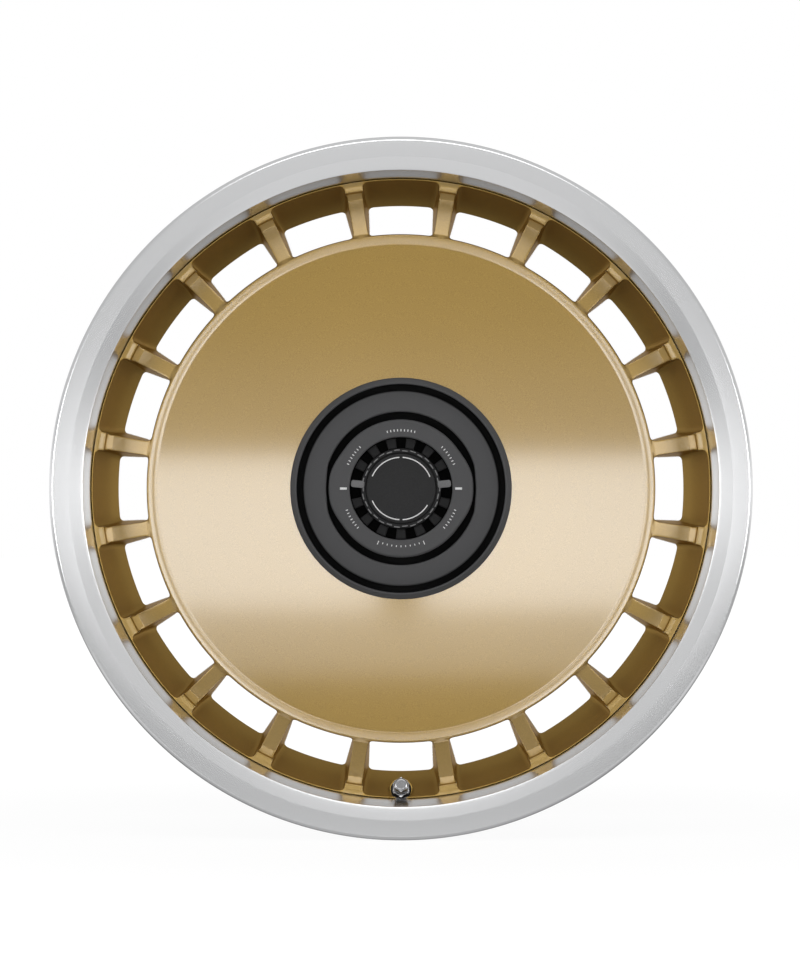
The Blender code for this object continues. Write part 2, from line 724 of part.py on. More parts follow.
seal_low = VALVE_REACH + FIT_GAP
seal_high = seal_low + 0.9
cap_ceiling = seal_high + FIT_GAP
cap_low = nut_high + 1.2
cap_bore_radius = VALVE_NOSE_RADIUS + FIT_GAP
valve_cap = hex_part("valve_cap", VALVE_CAP_FLATS, cap_low, cap_ceiling + 1.6, SILVER)
cap_bore = rod_cutter("valve_cap_bore", cap_bore_radius, -5.0, cap_ceiling, SMALL_SEGMENTS, VALVE_PLACE)
boolean(valve_cap, cap_bore, "DIFFERENCE")
turned_part(
    "valve_cap_seal",
    [
        (0.0, seal_high),
        (VALVE_NOSE_RADIUS, seal_high),
        (VALVE_NOSE_RADIUS, seal_low),
        (0.0, seal_low),
    ],
    SMALL_SEGMENTS,
    RUBBER,
    VALVE_PLACE,
    closed=False,
)
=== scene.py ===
"""Looks of the forged racing wheel rim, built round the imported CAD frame.

Profiles are lists of (radius, depth, rounding) in millimetres, with depth counted backwards
from the street-side flange face. A wheel piece is drawn lying on its back, street side up,
and then stood on its tread.
"""

import math

import bmesh
import bpy
from mathutils import Matrix, Vector


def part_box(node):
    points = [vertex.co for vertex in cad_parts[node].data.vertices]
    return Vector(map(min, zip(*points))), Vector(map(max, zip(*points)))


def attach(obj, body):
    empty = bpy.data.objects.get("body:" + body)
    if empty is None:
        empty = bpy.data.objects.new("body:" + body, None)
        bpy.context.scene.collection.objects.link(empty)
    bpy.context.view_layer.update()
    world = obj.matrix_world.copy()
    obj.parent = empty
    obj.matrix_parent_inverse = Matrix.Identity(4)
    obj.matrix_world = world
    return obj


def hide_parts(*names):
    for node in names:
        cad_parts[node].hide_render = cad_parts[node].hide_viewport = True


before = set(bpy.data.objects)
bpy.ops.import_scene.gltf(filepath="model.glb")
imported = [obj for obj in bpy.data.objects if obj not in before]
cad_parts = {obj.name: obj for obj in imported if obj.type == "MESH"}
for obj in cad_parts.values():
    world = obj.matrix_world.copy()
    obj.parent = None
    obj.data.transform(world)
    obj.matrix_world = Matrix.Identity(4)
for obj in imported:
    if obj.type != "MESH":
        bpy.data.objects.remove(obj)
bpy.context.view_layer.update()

MM = 0.001
FIT_GAP = 0.3
STAND_UP = Matrix.Rotation(math.radians(90), 4, "X")

# Sizes read from the frame.
RIM_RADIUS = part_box("rim_shell")[1][0] / MM
HALF_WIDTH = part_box("rim_shell")[1][1] / MM
MOUNT_DEPTH = HALF_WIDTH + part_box("wheel_centre")[1][1] / MM

# Sizes shared with the CAD source.
SEAT_RADIUS = RIM_RADIUS - 17.5
FLANGE_THICKNESS = 12.4
WELL_RADIUS = SEAT_RADIUS - 15.8
WELL_BORE = WELL_RADIUS - 5.0
REGISTER_DEPTH = 25.0
REGISTER_RADIUS = SEAT_RADIUS - 8.8
EAR_DEPTH = 65.0
EAR_REAR = 73.0
REGISTER_SLOPE = (REGISTER_RADIUS - WELL_BORE) / (EAR_DEPTH - REGISTER_DEPTH)
BOLT_CIRCLE_RADIUS = WELL_BORE - 12.0
BEAD_RADIUS = REGISTER_RADIUS - 38.1
POCKET_RADIUS = 72.0
POCKET_FLOOR = MOUNT_DEPTH - 17.0
HUB_BORE_RADIUS = 38.0
HUB_HOLE_COUNT = 5
HUB_HOLE_CIRCLE_RADIUS = 56.0
SPOKE_COUNT = 20
SPOKE_PITCH = 2 * math.pi / SPOKE_COUNT
RING_FRONT = REGISTER_DEPTH + 0.8
RING_REAR = EAR_DEPTH - FIT_GAP
RING_GAP = FIT_GAP * math.hypot(1, REGISTER_SLOPE)
VALVE_TILT = math.radians(14)
VALVE_SEAT_DEPTH = 38.6
BOSS_RADIUS = 8.0
VALVE_GRIP = 18.0
COVER_EDGE = POCKET_RADIUS + 2.5
NUT_RADIUS = 46.5
GROOVE_RADIUS = NUT_RADIUS + 5.0
TOOTH_COUNT = 15
TOOTH_PITCH = 2 * math.pi / TOOTH_COUNT
TAB_TEETH = {4: "lock_tab_right", 11: "lock_tab_left"}

# Sizes of the gold centre's looks. A spoke's widths are those at its inner and its outer end.
RING_FRONT_EDGE = 0.8
RING_REAR_WALL = 4.4
SPOKE_FRONT_WIDTHS = (10.2, 9.6)
SPOKE_REAR_WIDTHS = (12.2, 15.6)
WINDOW_CORNER = 3.6
WINDOW_EDGE = 0.7
WINDOW_REAR_EDGE = 0.8
HEAD_START = BEAD_RADIUS + 28.6
HEAD_FLARE = 1.3
THIN_WALL_RADIUS = BEAD_RADIUS + 36.6
DOME_TOP = 17.2
DOME_HEIGHT = 3.2
REAR_POCKET_FLOOR = 30.0
REAR_POCKET_FILLET = 2.4
REAR_POCKET_CORNER = 6.0
REAR_POCKET_EDGE = 1.2

# Angles in degrees above which an edge is drawn sharp.
CREASE = 32
CENTRE_CREASE = 30
SHELL_CREASE = 24

# Points round one spoke pitch, a window's corner, a fillet and the whole wheel.
PITCH_STEPS = 30
CORNER_STEPS = 12
FILLET_TURNS = [math.pi / 2 * step / 3 for step in range(4)]
EVEN_SHARES = [step / PITCH_STEPS for step in range(PITCH_STEPS + 1)]
SIDE_SHARES = [1 - (1 - share) ** 1.6 for share in EVEN_SHARES]
WHEEL_ANGLES = [
    (index / PITCH_STEPS - 0.5) * SPOKE_PITCH for index in range(SPOKE_COUNT * PITCH_STEPS)
]


def register_radius(depth):
    return REGISTER_RADIUS - REGISTER_SLOPE * (depth - REGISTER_DEPTH)


VALVE_SEAT_RADIUS = register_radius(VALVE_SEAT_DEPTH) - 1.5
VALVE_PLACE = (
    STAND_UP
    @ Matrix.Translation(Vector((0, -VALVE_SEAT_RADIUS, HALF_WIDTH - VALVE_SEAT_DEPTH)) * MM)
    @ Matrix.Rotation(-VALVE_TILT, 4, "X")
)


# Helpers for meshes.


def linked(name, data):
    """A new object in the scene."""
    made = bpy.data.objects.new(name, data)
    bpy.context.scene.collection.objects.link(made)
    return made


def smoothed(data, sharp):
    """Shade a mesh smooth, but for edges that turn by more than some degrees."""
    data.shade_smooth()
    data.set_sharp_from_angle(angle=math.radians(sharp))


def even_angles(count):
    return [2 * math.pi * index / count for index in range(count)]


def polar(radius, angle):
    return Vector((math.cos(angle), math.sin(angle))) * radius


def curved(start, corner, end, steps):
    """Points of a short curve that rounds a corner."""
    shares = [step / steps for step in range(steps + 1)]
    return [(1 - t) ** 2 * start + 2 * t * (1 - t) * corner + t * t * end for t in shares]


def rounded(points, closed=True, steps=4):
    """The path through (x, y, rounding) points with each corner turned into a short curve."""
    path = []
    last = len(points) - 1
    for index, (x, y, rounding) in enumerate(points):
        corner = Vector((x, y))
        if rounding == 0 or (not closed and index in (0, last)):
            path.append(corner)
            continue
        before = Vector(points[index - 1][:2]) - corner
        after = Vector(points[(index + 1) % len(points)][:2]) - corner
        reach = min(rounding, 0.48 * before.length, 0.48 * after.length)
        start = corner + before.normalized() * reach
        end = corner + after.normalized() * reach
        path += curved(start, corner, end, steps)
    return path


def by_height(path):
    """Profile points with depth behind the flange face changed to height."""
    return [Vector((point.x, HALF_WIDTH - point.y)) for point in path]


class Shape:
    """A bmesh that is filled ring by ring."""

    def __init__(self):
        self.mesh = bmesh.new()

    def ring(self, points):
        return [self.mesh.verts.new(Vector(point) * MM) for point in points]

    def bridge(self, first, second, closed=True):
        count = len(first)
        for index in range(count if closed else count - 1):
            after = (index + 1) % count
            corners = [first[index], first[after], second[after], second[index]]
            kept = list(dict.fromkeys(corners))
            if len(kept) > 2:
                self.mesh.faces.new(kept)

    def lathe(self, path, angles, closed=True, change=None):
        """Turn a path about the axis; change(point, angle) may move each turned point."""
        rings = []
        for point in path:
            if point.x == 0:
                pole = self.mesh.verts.new((0, 0, point.y * MM))
                rings.append([pole] * len(angles))
                continue
            around = []
            for angle in angles:
                here = change(point, angle) if change else point
                around.append((here.x * math.cos(angle), here.x * math.sin(angle), here.y))
            rings.append(self.ring(around))
        for first, second in zip(rings, rings[1:]):
            self.bridge(first, second)
        if closed:
            self.bridge(rings[-1], rings[0])

    def finished(self, name, place=STAND_UP, sharp=CREASE, weld=0.002):
        """The object, with faces out, welded where its rings meet, and smooth but for its edges."""
        bmesh.ops.remove_doubles(self.mesh, verts=self.mesh.verts[:], dist=weld * MM)
        bmesh.ops.recalc_face_normals(self.mesh, faces=self.mesh.faces[:])
        data = bpy.data.meshes.new(name)
        self.mesh.to_mesh(data)
        self.mesh.free()
        data.transform(place)
        smoothed(data, sharp)
        return linked(name, data)


def turned(name, points, angles, place=STAND_UP, closed=True, change=None, depth=True, sharp=CREASE):
    """A lathe piece from (radius, depth, rounding) points, or (radius, height, rounding)."""
    path = rounded(points, closed)
    shape = Shape()
    shape.lathe(by_height(path) if depth else path, angles, closed, change)
    return shape.finished(name, place, sharp)


def on_valve(name, points, count=48, closed=True, change=None):
    """A lathe piece about the valve's axis, from (radius, height above the boss, rounding)."""
    return turned(name, points, even_angles(count), VALVE_PLACE, closed, change, depth=False)


def carve(target, cutter, operation="DIFFERENCE", sharp=CREASE):
    """Apply a Boolean and drop the cutter."""
    step = target.modifiers.new("carve", "BOOLEAN")
    step.operation = operation
    step.solver = "EXACT"
    step.object = cutter
    graph = bpy.context.evaluated_depsgraph_get()
    result = bpy.data.meshes.new_from_object(target.evaluated_get(graph))
    target.modifiers.remove(step)
    target.data = result
    smoothed(result, sharp)
    bpy.data.objects.remove(cutter, do_unlink=True)


def show(piece, node, body, material):
    """Give a piece its material and let it stand for a CAD node."""
    piece.data.materials.clear()
    piece.data.materials.append(material)
    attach(piece, body)
    if node:
        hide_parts(node)


def repaint(piece, material, chosen):
    """Give the faces that chosen(middle) picks a second material."""
    piece.data.materials.append(material)
    for face in piece.data.polygons:
        face.material_index = int(chosen(face.center))


# Materials.


def fill(node, **values):
    """Set inputs of a node, with an underscore for each space in their names."""
    for name, value in values.items():
        node.inputs[name.replace("_", " ")].default_value = value


class Graph:
    """Short ways of adding nodes to a node tree."""

    def __init__(self, tree):
        self.nodes, self.links = tree.nodes, tree.links

    def node(self, kind, **settings):
        made = self.nodes.new(kind)
        for key, value in settings.items():
            setattr(made, key, value)
        return made

    def join(self, source, target):
        self.links.new(source, target)

    def math(self, operation, first, second):
        """A Math node on two outputs, or on an output and a number."""
        made = self.node("ShaderNodeMath", operation=operation)
        for socket, value in zip(made.inputs, (first, second)):
            if isinstance(value, (int, float)):
                socket.default_value = value
            else:
                self.join(value, socket)
        return made.outputs[0]

    def parts(self, vector):
        """The X, Y and Z of a vector."""
        made = self.node("ShaderNodeSeparateXYZ")
        self.join(vector, made.inputs[0])
        return made.outputs

    def length(self, vector):
        made = self.node("ShaderNodeVectorMath", operation="LENGTH")
        self.join(vector, made.inputs[0])
        return made.outputs["Value"]

    def span(self, value, source=(0.0, 1.0), result=(0.0, 1.0), **settings):
        """A value carried over from one range to another."""
        made = self.node("ShaderNodeMapRange", **settings)
        fill(made, From_Min=source[0], From_Max=source[1], To_Min=result[0], To_Max=result[1])
        self.join(value, made.inputs["Value"])
        return made.outputs["Result"]

    def blend(self, share, first, second, output):
        """Mix two shaders into the tree's output node."""
        made = self.node("ShaderNodeMixShader")
        for source, socket in zip((share, first, second), made.inputs):
            self.join(source, socket)
        self.join(made.outputs[0], self.nodes[output].inputs["Surface"])


class Paint(Graph):
    """A Principled material whose colour, roughness and bump come from nodes."""

    def __init__(self, name, colour, roughness, metallic, **sockets):
        self.material = bpy.data.materials.new(name)
        self.material.use_nodes = True
        super().__init__(self.material.node_tree)
        self.shader = self.nodes["Principled BSDF"]
        self.colour = colour
        fill(self.shader, Metallic=metallic, Roughness=roughness, **sockets)
        self.place = self.node("ShaderNodeTexCoord").outputs["Object"]

    def noise(self, scale, detail=4.0, source=None):
        made = self.node("ShaderNodeTexNoise")
        fill(made, Scale=scale, Detail=detail)
        self.join(source or self.place, made.inputs["Vector"])
        return made.outputs["Fac"]

    def radius(self):
        """Distance from the wheel axis."""
        parts = self.parts(self.place)
        flat = self.node("ShaderNodeCombineXYZ")
        self.join(parts["X"], flat.inputs["X"])
        self.join(parts["Z"], flat.inputs["Y"])
        return self.length(flat.outputs[0])

    def rings(self, scale, detail):
        """Noise that changes with the distance from the wheel axis alone."""
        along = self.node("ShaderNodeCombineXYZ")
        self.join(self.math("MULTIPLY", self.radius(), scale), along.inputs["X"])
        return self.noise(1.0, detail, along.outputs[0])

    def tint(self, factor, low, high, stops=(0.3, 0.7)):
        """Base colour between two multiples of the paint's own colour."""
        ramp = self.node("ShaderNodeValToRGB")
        for element, stop, share in zip(ramp.color_ramp.elements, stops, (low, high)):
            element.position = stop
            element.color = (*[channel * share for channel in self.colour], 1.0)
        self.join(factor, ramp.inputs["Fac"])
        self.join(ramp.outputs["Color"], self.shader.inputs["Base Color"])
        return self

    def gloss(self, factor, low, high):
        self.join(self.span(factor, result=(low, high)), self.shader.inputs["Roughness"])
        return self

    def bump(self, factor, depth, strength):
        made = self.node("ShaderNodeBump")
        fill(made, Distance=depth * MM, Strength=strength)
        self.join(factor, made.inputs["Height"])
        self.join(made.outputs["Normal"], self.shader.inputs["Normal"])
        return self


def gold_paint(name, share, coat, coat_roughness):
    """Satin metallic gold under a clear coat, with fine flake and a little orange peel. Share scales
    its colour; the band and wall copies use a larger share as painted light.
    """
    colour = [channel * share for channel in (0.36, 0.232, 0.056)]
    paint = Paint(
        name, colour, 0.5, 1.0, Coat_Weight=coat, Coat_Roughness=coat_roughness, Coat_IOR=1.7,
        Specular_Tint=(0.62, 0.42, 0.14, 1.0),
    )
    flake = paint.noise(2600, 2.0)
    cloud = paint.noise(9, 3.0)
    paint.tint(flake, 0.82, 1.2).gloss(cloud, 0.46, 0.54).bump(flake, 0.012, 0.5)
    return paint.material


def bright_alloy():
    """Diamond-turned alloy with very fine rings left by the tool."""
    paint = Paint("bright_alloy", (0.90, 0.905, 0.915), 0.2, 1.0)
    rings = paint.rings(2400, 2.0)
    lip = paint.span(paint.radius(), ((SEAT_RADIUS - 6.5) * MM, (SEAT_RADIUS - 4.0) * MM))
    return paint.tint(rings, 0.96, 1.02).gloss(lip, 0.25, 0.26).material


def plain_metal(name, colour, roughness):
    paint = Paint(name, colour, roughness, 1.0)
    speck = paint.noise(900, 3.0)
    paint.tint(speck, 0.86, 1.08).gloss(paint.noise(60), roughness * 0.8, roughness * 1.25)
    return paint.bump(speck, 0.01, 0.4).material


def satin_black(name, colour, roughness, shine=0.25):
    """Fine-textured dark coating."""
    paint = Paint(name, colour, roughness, 0.0, Specular_IOR_Level=shine)
    speck = paint.noise(1800, 2.0)
    paint.tint(speck, 0.85, 1.15).gloss(paint.noise(40), roughness * 0.88, roughness * 1.12)
    return paint.bump(speck, 0.02, 0.35).material


def cover_paint_with_painted_shade(name, colour, roughness, shine, face_depth):
    """Dark coating with painted shade: below the face it goes blacker and duller, so that the
    grooves look shaded.
    """
    paint = Paint(name, colour, roughness, 0.0, Specular_IOR_Level=shine)
    speck = paint.noise(1800, 2.0)
    start, end = [(face_depth + below - HALF_WIDTH) * MM for below in (0.8, 4.5)]
    across = paint.parts(paint.place)["Y"]
    # Painted shade: the colour falls to near black with depth below the face, standing in for shade
    # in the grooves.
    painted_groove_shade = paint.span(across, (start, end), (1.0, 0.05), interpolation_type="SMOOTHSTEP")
    shade = paint.math("MULTIPLY", painted_groove_shade, paint.span(speck, result=(0.88, 1.0)))
    paint.tint(shade, 0.0, 1.0, (0.0, 1.0))
    return paint.gloss(painted_groove_shade, 0.9, roughness).bump(speck, 0.02, 0.35).material


def rubber():
    paint = Paint("rubber", (0.014, 0.014, 0.0145), 0.75, 0.0)
    speck = paint.noise(1200, 3.0)
    return paint.tint(speck, 0.8, 1.3).gloss(speck, 0.65, 0.85).bump(speck, 0.03, 0.5).material


# One gold paint in three copies: the spoke band and the window walls are painted lighter than the
# disc, as painted light where the lamps leave them darker.
GOLD = gold_paint("satin_gold", 0.96, 1.0, 0.085)
GOLD_BAND_PAINTED_LIGHTER = gold_paint("satin_gold_band_painted_lighter", 1.1, 0.85, 0.22)
GOLD_WALL_PAINTED_LIGHTER = gold_paint("satin_gold_wall_painted_lighter", 1.25, 0.3, 0.4)
ALLOY = bright_alloy()
STEEL = plain_metal("bolt_steel", (0.36, 0.36, 0.37), 0.34)
SPRING = plain_metal("spring_steel", (0.30, 0.30, 0.31), 0.3)
SILVER = plain_metal("valve_silver", (0.42, 0.42, 0.43), 0.26)
BRASS = plain_metal("valve_brass", (0.60, 0.45, 0.20), 0.3)
# The cover, nut and crown paints carry painted shade in their grooves.
CHARCOAL = cover_paint_with_painted_shade("charcoal", (0.062, 0.062, 0.064), 0.5, 0.25, 13.6)
NUT_GREY = cover_paint_with_painted_shade("nut_charcoal", (0.066, 0.066, 0.068), 0.5, 0.25, 12.8)
BLACK = cover_paint_with_painted_shade("crown_black", (0.02, 0.02, 0.0205), 0.6, 0.1, 15.8)
DASH_GREY = satin_black("dash_grey", (0.16, 0.16, 0.162), 0.6, 0.1)
TAB_GREY = satin_black("tab_grey", (0.14, 0.14, 0.142), 0.55, 0.2)
BADGE = satin_black("badge_grey", (0.022, 0.022, 0.0225), 0.45, 0.12)
PRINT = satin_black("printed_white", (0.62, 0.62, 0.62), 0.6)
SPIGOT = satin_black("spigot_plastic", (0.50, 0.17, 0.03), 0.5, 0.4)
RUBBER = rubber()


# Gaps between spokes, drawn about the middle of one window.


def gap_outline(inner, outer, wall_widths, corner):
    """Outline of a window or pocket, its edges in the order inner, upper, outer, lower.

    The walls beside it have one width at the inner edge and one at the outer edge. Each edge has
    PITCH_STEPS points, from the middle of one rounded corner up to the middle of the next.
    """
    along = polar(1.0, SPOKE_PITCH / 2)
    inward = Vector((along.y, -along.x))
    corners = []
    for radius, width, sign in zip((inner, outer), wall_widths, (1, -1)):
        point = along * math.sqrt(radius**2 - (width / 2) ** 2) + inward * (width / 2)
        on_arc = polar(radius, math.atan2(point.y, point.x) - corner / radius)
        on_side = point + along * (corner * sign)
        corners.append(curved(on_arc, point, on_side, CORNER_STEPS))
    half = CORNER_STEPS // 2
    inner_corner, outer_corner = corners
    inner_arc = arc_points(inner, inner_corner[0])
    outer_arc = arc_points(outer, outer_corner[0])
    side = inner_corner[half:] + outer_corner[: half - 1 : -1]
    edges = [
        spaced(mirrored(inner_corner[half:0:-1]) + inner_arc + inner_corner[1 : half + 1]),
        spaced(side, SIDE_SHARES),
        spaced(outer_corner[half:0:-1] + outer_arc[::-1] + mirrored(outer_corner[1 : half + 1])),
        mirrored(spaced(side, SIDE_SHARES))[::-1],
    ]
    return [point for edge in edges for point in edge[:-1]]


def mirrored(points):
    return [Vector((point.x, -point.y)) for point in points]


def arc_points(radius, end):
    """Points on a circle from the mirror image of end to end."""
    limit = math.atan2(end.y, end.x)
    return [polar(radius, limit * (step / 8 - 1)) for step in range(17)]


def spaced(points, shares=EVEN_SHARES):
    """Points at given shares of the way along a path."""
    lengths = [0.0]
    for first, second in zip(points, points[1:]):
        lengths.append(lengths[-1] + (second - first).length)
    found = []
    for part in shares:
        goal = lengths[-1] * part
        index = next(i for i in range(1, len(lengths)) if lengths[i] >= goal - 1e-9)
        span = lengths[index] - lengths[index - 1]
        share = (goal - lengths[index - 1]) / span if span else 0.0
        found.append(points[index - 1].lerp(points[index], share))
    return found


def pushed(outline, distances):
    """The outline moved away from its own middle, by one distance or one for each point."""
    count = len(outline)
    if not isinstance(distances, list):
        distances = [distances] * count
    moved = []
    for index, (point, distance) in enumerate(zip(outline, distances)):
        run = outline[(index + 1) % count] - outline[index - 1]
        moved.append(point + Vector((-run.y, run.x)).normalized() * distance)
    return moved


def sector_edge(inner, outer, sides=None):
    """Points on the border of one spoke pitch that match an outline's points.

    The radii along its sides are spread as an outline's are, or are given.
    """
    half_pitch = SPOKE_PITCH / 2
    swept = [half_pitch * (2 * step / PITCH_STEPS - 1) for step in range(PITCH_STEPS)]
    edge = [polar(inner, angle) for angle in swept]
    steps = sides or [inner + (outer - inner) * share for share in SIDE_SHARES]
    steps = [inner, *steps[1:-1], outer]
    edge += [polar(radius, half_pitch) for radius in steps[:-1]]
    edge += [polar(outer, -angle) for angle in swept]
    return edge + [polar(radius, -half_pitch) for radius in steps[:0:-1]]


def window_outline(depth, outer=None):
    """A window of the spoke ring at a depth, or the gap between two ears of the shell."""
    share = (depth - RING_FRONT) / (RING_REAR - RING_FRONT)
    if outer is None:
        wall = RING_FRONT_EDGE + share * (RING_REAR_WALL - RING_FRONT_EDGE)
        outer = register_radius(depth) - RING_GAP - wall
    ends = zip(SPOKE_FRONT_WIDTHS, SPOKE_REAR_WIDTHS)
    widths = [front + share * (rear - front) for front, rear in ends]
    return gap_outline(BEAD_RADIUS, outer, widths, WINDOW_CORNER)


def window_front():
    """The window's outline where its drafted walls meet the curved front of the spokes."""
    top, bottom = 20.0, 40.0
    shallow, deep = window_outline(top), window_outline(bottom)
    found = []
    for first, second in zip(shallow, deep):
        point = first
        for _ in range(5):
            depth = depth_on(FRONT_PATH, point.length)
            point = first.lerp(second, (depth - top) / (bottom - top))
        found.append(point)
    head_ramp, side_band, side_ramp = 2.4, 6.0, 4.0
    reach = max(point.y for point in found)
    for point in found:
        along = min(1.0, max(0.0, (point.length - HEAD_START) / head_ramp))
        beside = min(1.0, max(0.0, (abs(point.y) - reach + side_band) / side_ramp))
        point.y -= math.copysign(HEAD_FLARE * along * beside, point.y)
    side = found[PITCH_STEPS : 2 * PITCH_STEPS + 1]
    radii = side_radii(side[0].length, side[-1].length)
    side = [reached(side, radius, lambda point: point.length) for radius in radii]
    tail = found[2 * PITCH_STEPS : 3 * PITCH_STEPS]
    return found[:PITCH_STEPS] + side[:-1] + tail + mirrored(side)[:0:-1], radii


def side_radii(first, last):
    """Radii of the points on a window's side: those of the front's own edges, and some between."""
    radii = [first]
    for point in FRONT_PATH:
        if radii[-1] + 0.12 < point.x < last - 0.12:
            radii.append(point.x)
    radii.append(last)
    while len(radii) <= PITCH_STEPS:
        gaps = [after - before for before, after in zip(radii, radii[1:])]
        widest = gaps.index(max(gaps))
        radii.insert(widest + 1, (radii[widest] + radii[widest + 1]) / 2)
    return radii


def reached(path, goal, measure):
    """The point of a path at which a measure that grows along it reaches a goal."""
    for first, second in zip(path, path[1:]):
        low, high = measure(first), measure(second)
        if low <= goal <= high and low < high:
            return first.lerp(second, (goal - low) / (high - low))
    return path[-1] if goal > measure(path[-1]) else path[0]


# Gold wheel centre.

DISC_EDGE = BEAD_RADIUS - 7.0


def dome_depth(radius):
    """The disc's face is a very flat dome between its edge and the cover."""
    middle = POCKET_RADIUS + 1.2
    return DOME_TOP + DOME_HEIGHT * (radius**2 - middle**2) / (DISC_EDGE**2 - middle**2)


DOME_RADII = [
    POCKET_RADIUS + 3.0 + step * (DISC_EDGE - POCKET_RADIUS - 5.0) / 10 for step in range(11)
]
FRONT_POINTS = [
    (POCKET_RADIUS, 24.0, 0.0), (POCKET_RADIUS, 18.4, 0.6), (POCKET_RADIUS + 1.2, DOME_TOP, 0.8),
    *[(radius, dome_depth(radius), 3.0) for radius in DOME_RADII],
    (DISC_EDGE, DOME_TOP + DOME_HEIGHT, 0.3), (BEAD_RADIUS - 0.8, 19.9, 0.8),
    (BEAD_RADIUS + 0.8, 22.4, 1.6), (BEAD_RADIUS + 14.0, 27.6, 6.0),
    (BEAD_RADIUS + 25.8, 31.8, 0.3), (BEAD_RADIUS + 30.2, 29.2, 0.4),
    (BEAD_RADIUS + 31.0, 27.3, 0.8), (BEAD_RADIUS + 34.8, 26.9, 1.0),
    (register_radius(RING_FRONT) - RING_GAP - 0.3, RING_FRONT, 0.2),
    (register_radius(RING_FRONT + 0.4) - RING_GAP, RING_FRONT + 0.4, 0.2),
    (register_radius(RING_REAR - 1.0) - RING_GAP, RING_REAR - 1.0, 0.0),
]
REAR_POINTS = [
    (POCKET_RADIUS + 11.6, MOUNT_DEPTH - 0.4, 0.0), (POCKET_RADIUS + 13.6, MOUNT_DEPTH - 1.4, 0.8),
    (POCKET_RADIUS + 16.0, MOUNT_DEPTH - 7.0, 3.0), (BEAD_RADIUS + 2.0, RING_REAR, 10.0),
    (register_radius(RING_REAR) - RING_GAP - 1.0, RING_REAR, 0.0),
]
FRONT_PATH = rounded(FRONT_POINTS, closed=False)
REAR_PATH = rounded(REAR_POINTS, closed=False)


def depth_on(path, radius):
    """Depth of a profile path at a radius, where the path runs outwards."""
    return reached(path, radius, lambda point: point.x).y


def lifted(points, depth):
    """Outline points with a height, from a depth or from a depth for each point."""
    depths = depth if isinstance(depth, list) else [depth] * len(points)
    return [(point.x, point.y, HALF_WIDTH - d) for point, d in zip(points, depths)]


def edge_sizes(outline, rounding):
    """Edge roundings round an outline, smaller on the thin wall beside the lip."""
    return [min(rounding, max(0.3, 0.2 * (THIN_WALL_RADIUS - point.length))) for point in outline]


def edge_rows(outline, path, rounding, sign):
    """Rows of an edge rounding from the wall of a gap out to the face around it."""
    sizes = edge_sizes(outline, rounding)
    rows = []
    for turn in FILLET_TURNS:
        points = pushed(outline, [size * (1 - math.cos(turn)) for size in sizes])
        depths = []
        for point, size in zip(points, sizes):
            depths.append(depth_on(path, point.length) + size * (1 - math.sin(turn)) * sign)
        rows.append(lifted(points, depths))
    return rows


def face_rows(outline, border, path, rounding, rows=4):
    """Rows of a face between a rounded gap edge and the border of the spoke pitch."""
    start = pushed(outline, edge_sizes(outline, rounding))
    made = []
    for step in range(1, rows + 1):
        points = [first.lerp(second, step / rows) for first, second in zip(start, border)]
        made.append(lifted(points, [depth_on(path, point.length) for point in points]))
    return made


def add_rows(shape, rows, angle):
    """Bridge rows of outline points, all turned to one spoke pitch."""
    spin = Matrix.Rotation(angle, 3, "Z")
    rings = [shape.ring([spin @ Vector(point) for point in row]) for row in rows]
    for first, second in zip(rings, rings[1:]):
        shape.bridge(first, second)
    return rings


def window_rows(inner_border, outer_border, rear_border):
    """Rows of one spoke pitch, from its front border through the window to its rear border."""
    front_outline, side_steps = window_front()
    rear_outline = window_outline(RING_REAR)
    front_border = sector_edge(inner_border, outer_border, side_steps)
    rear_sector = sector_edge(inner_border, rear_border)
    rows = face_rows(front_outline, front_border, FRONT_PATH, WINDOW_EDGE, 6)[::-1]
    rows += edge_rows(front_outline, FRONT_PATH, WINDOW_EDGE, 1)[::-1]
    rows += [lifted(window_outline(depth), depth) for depth in (46.0, 55.0)]
    rows += edge_rows(rear_outline, REAR_PATH, WINDOW_REAR_EDGE, -1)
    return rows + face_rows(rear_outline, rear_sector, REAR_PATH, WINDOW_REAR_EDGE)


def rear_pocket_rows(inner_border, outer_border):
    """Rows of one rear pocket, from its border down to its floor, and the floor's middle."""
    corner = REAR_POCKET_CORNER
    mouth = gap_outline(POCKET_RADIUS + 20.0, BEAD_RADIUS - 11.0, (7.6, 7.6), corner)
    floor = gap_outline(POCKET_RADIUS + 22.0, BEAD_RADIUS - 12.5, (10.5, 10.5), corner)
    border = sector_edge(inner_border, outer_border)
    rows = face_rows(mouth, border, REAR_PATH, REAR_POCKET_EDGE)[::-1]
    rows += edge_rows(mouth, REAR_PATH, REAR_POCKET_EDGE, -1)[::-1]
    for turn in FILLET_TURNS:
        inset = pushed(floor, -REAR_POCKET_FILLET * (1 - math.cos(turn)))
        rows.append(lifted(inset, REAR_POCKET_FLOOR + REAR_POCKET_FILLET * (1 - math.sin(turn))))
    middle = sum(inset, Vector((0, 0))) / len(inset)
    for share in (0.1, 0.5):
        rows.append(lifted([point.lerp(middle, share) for point in inset], REAR_POCKET_FLOOR))
    return rows, middle


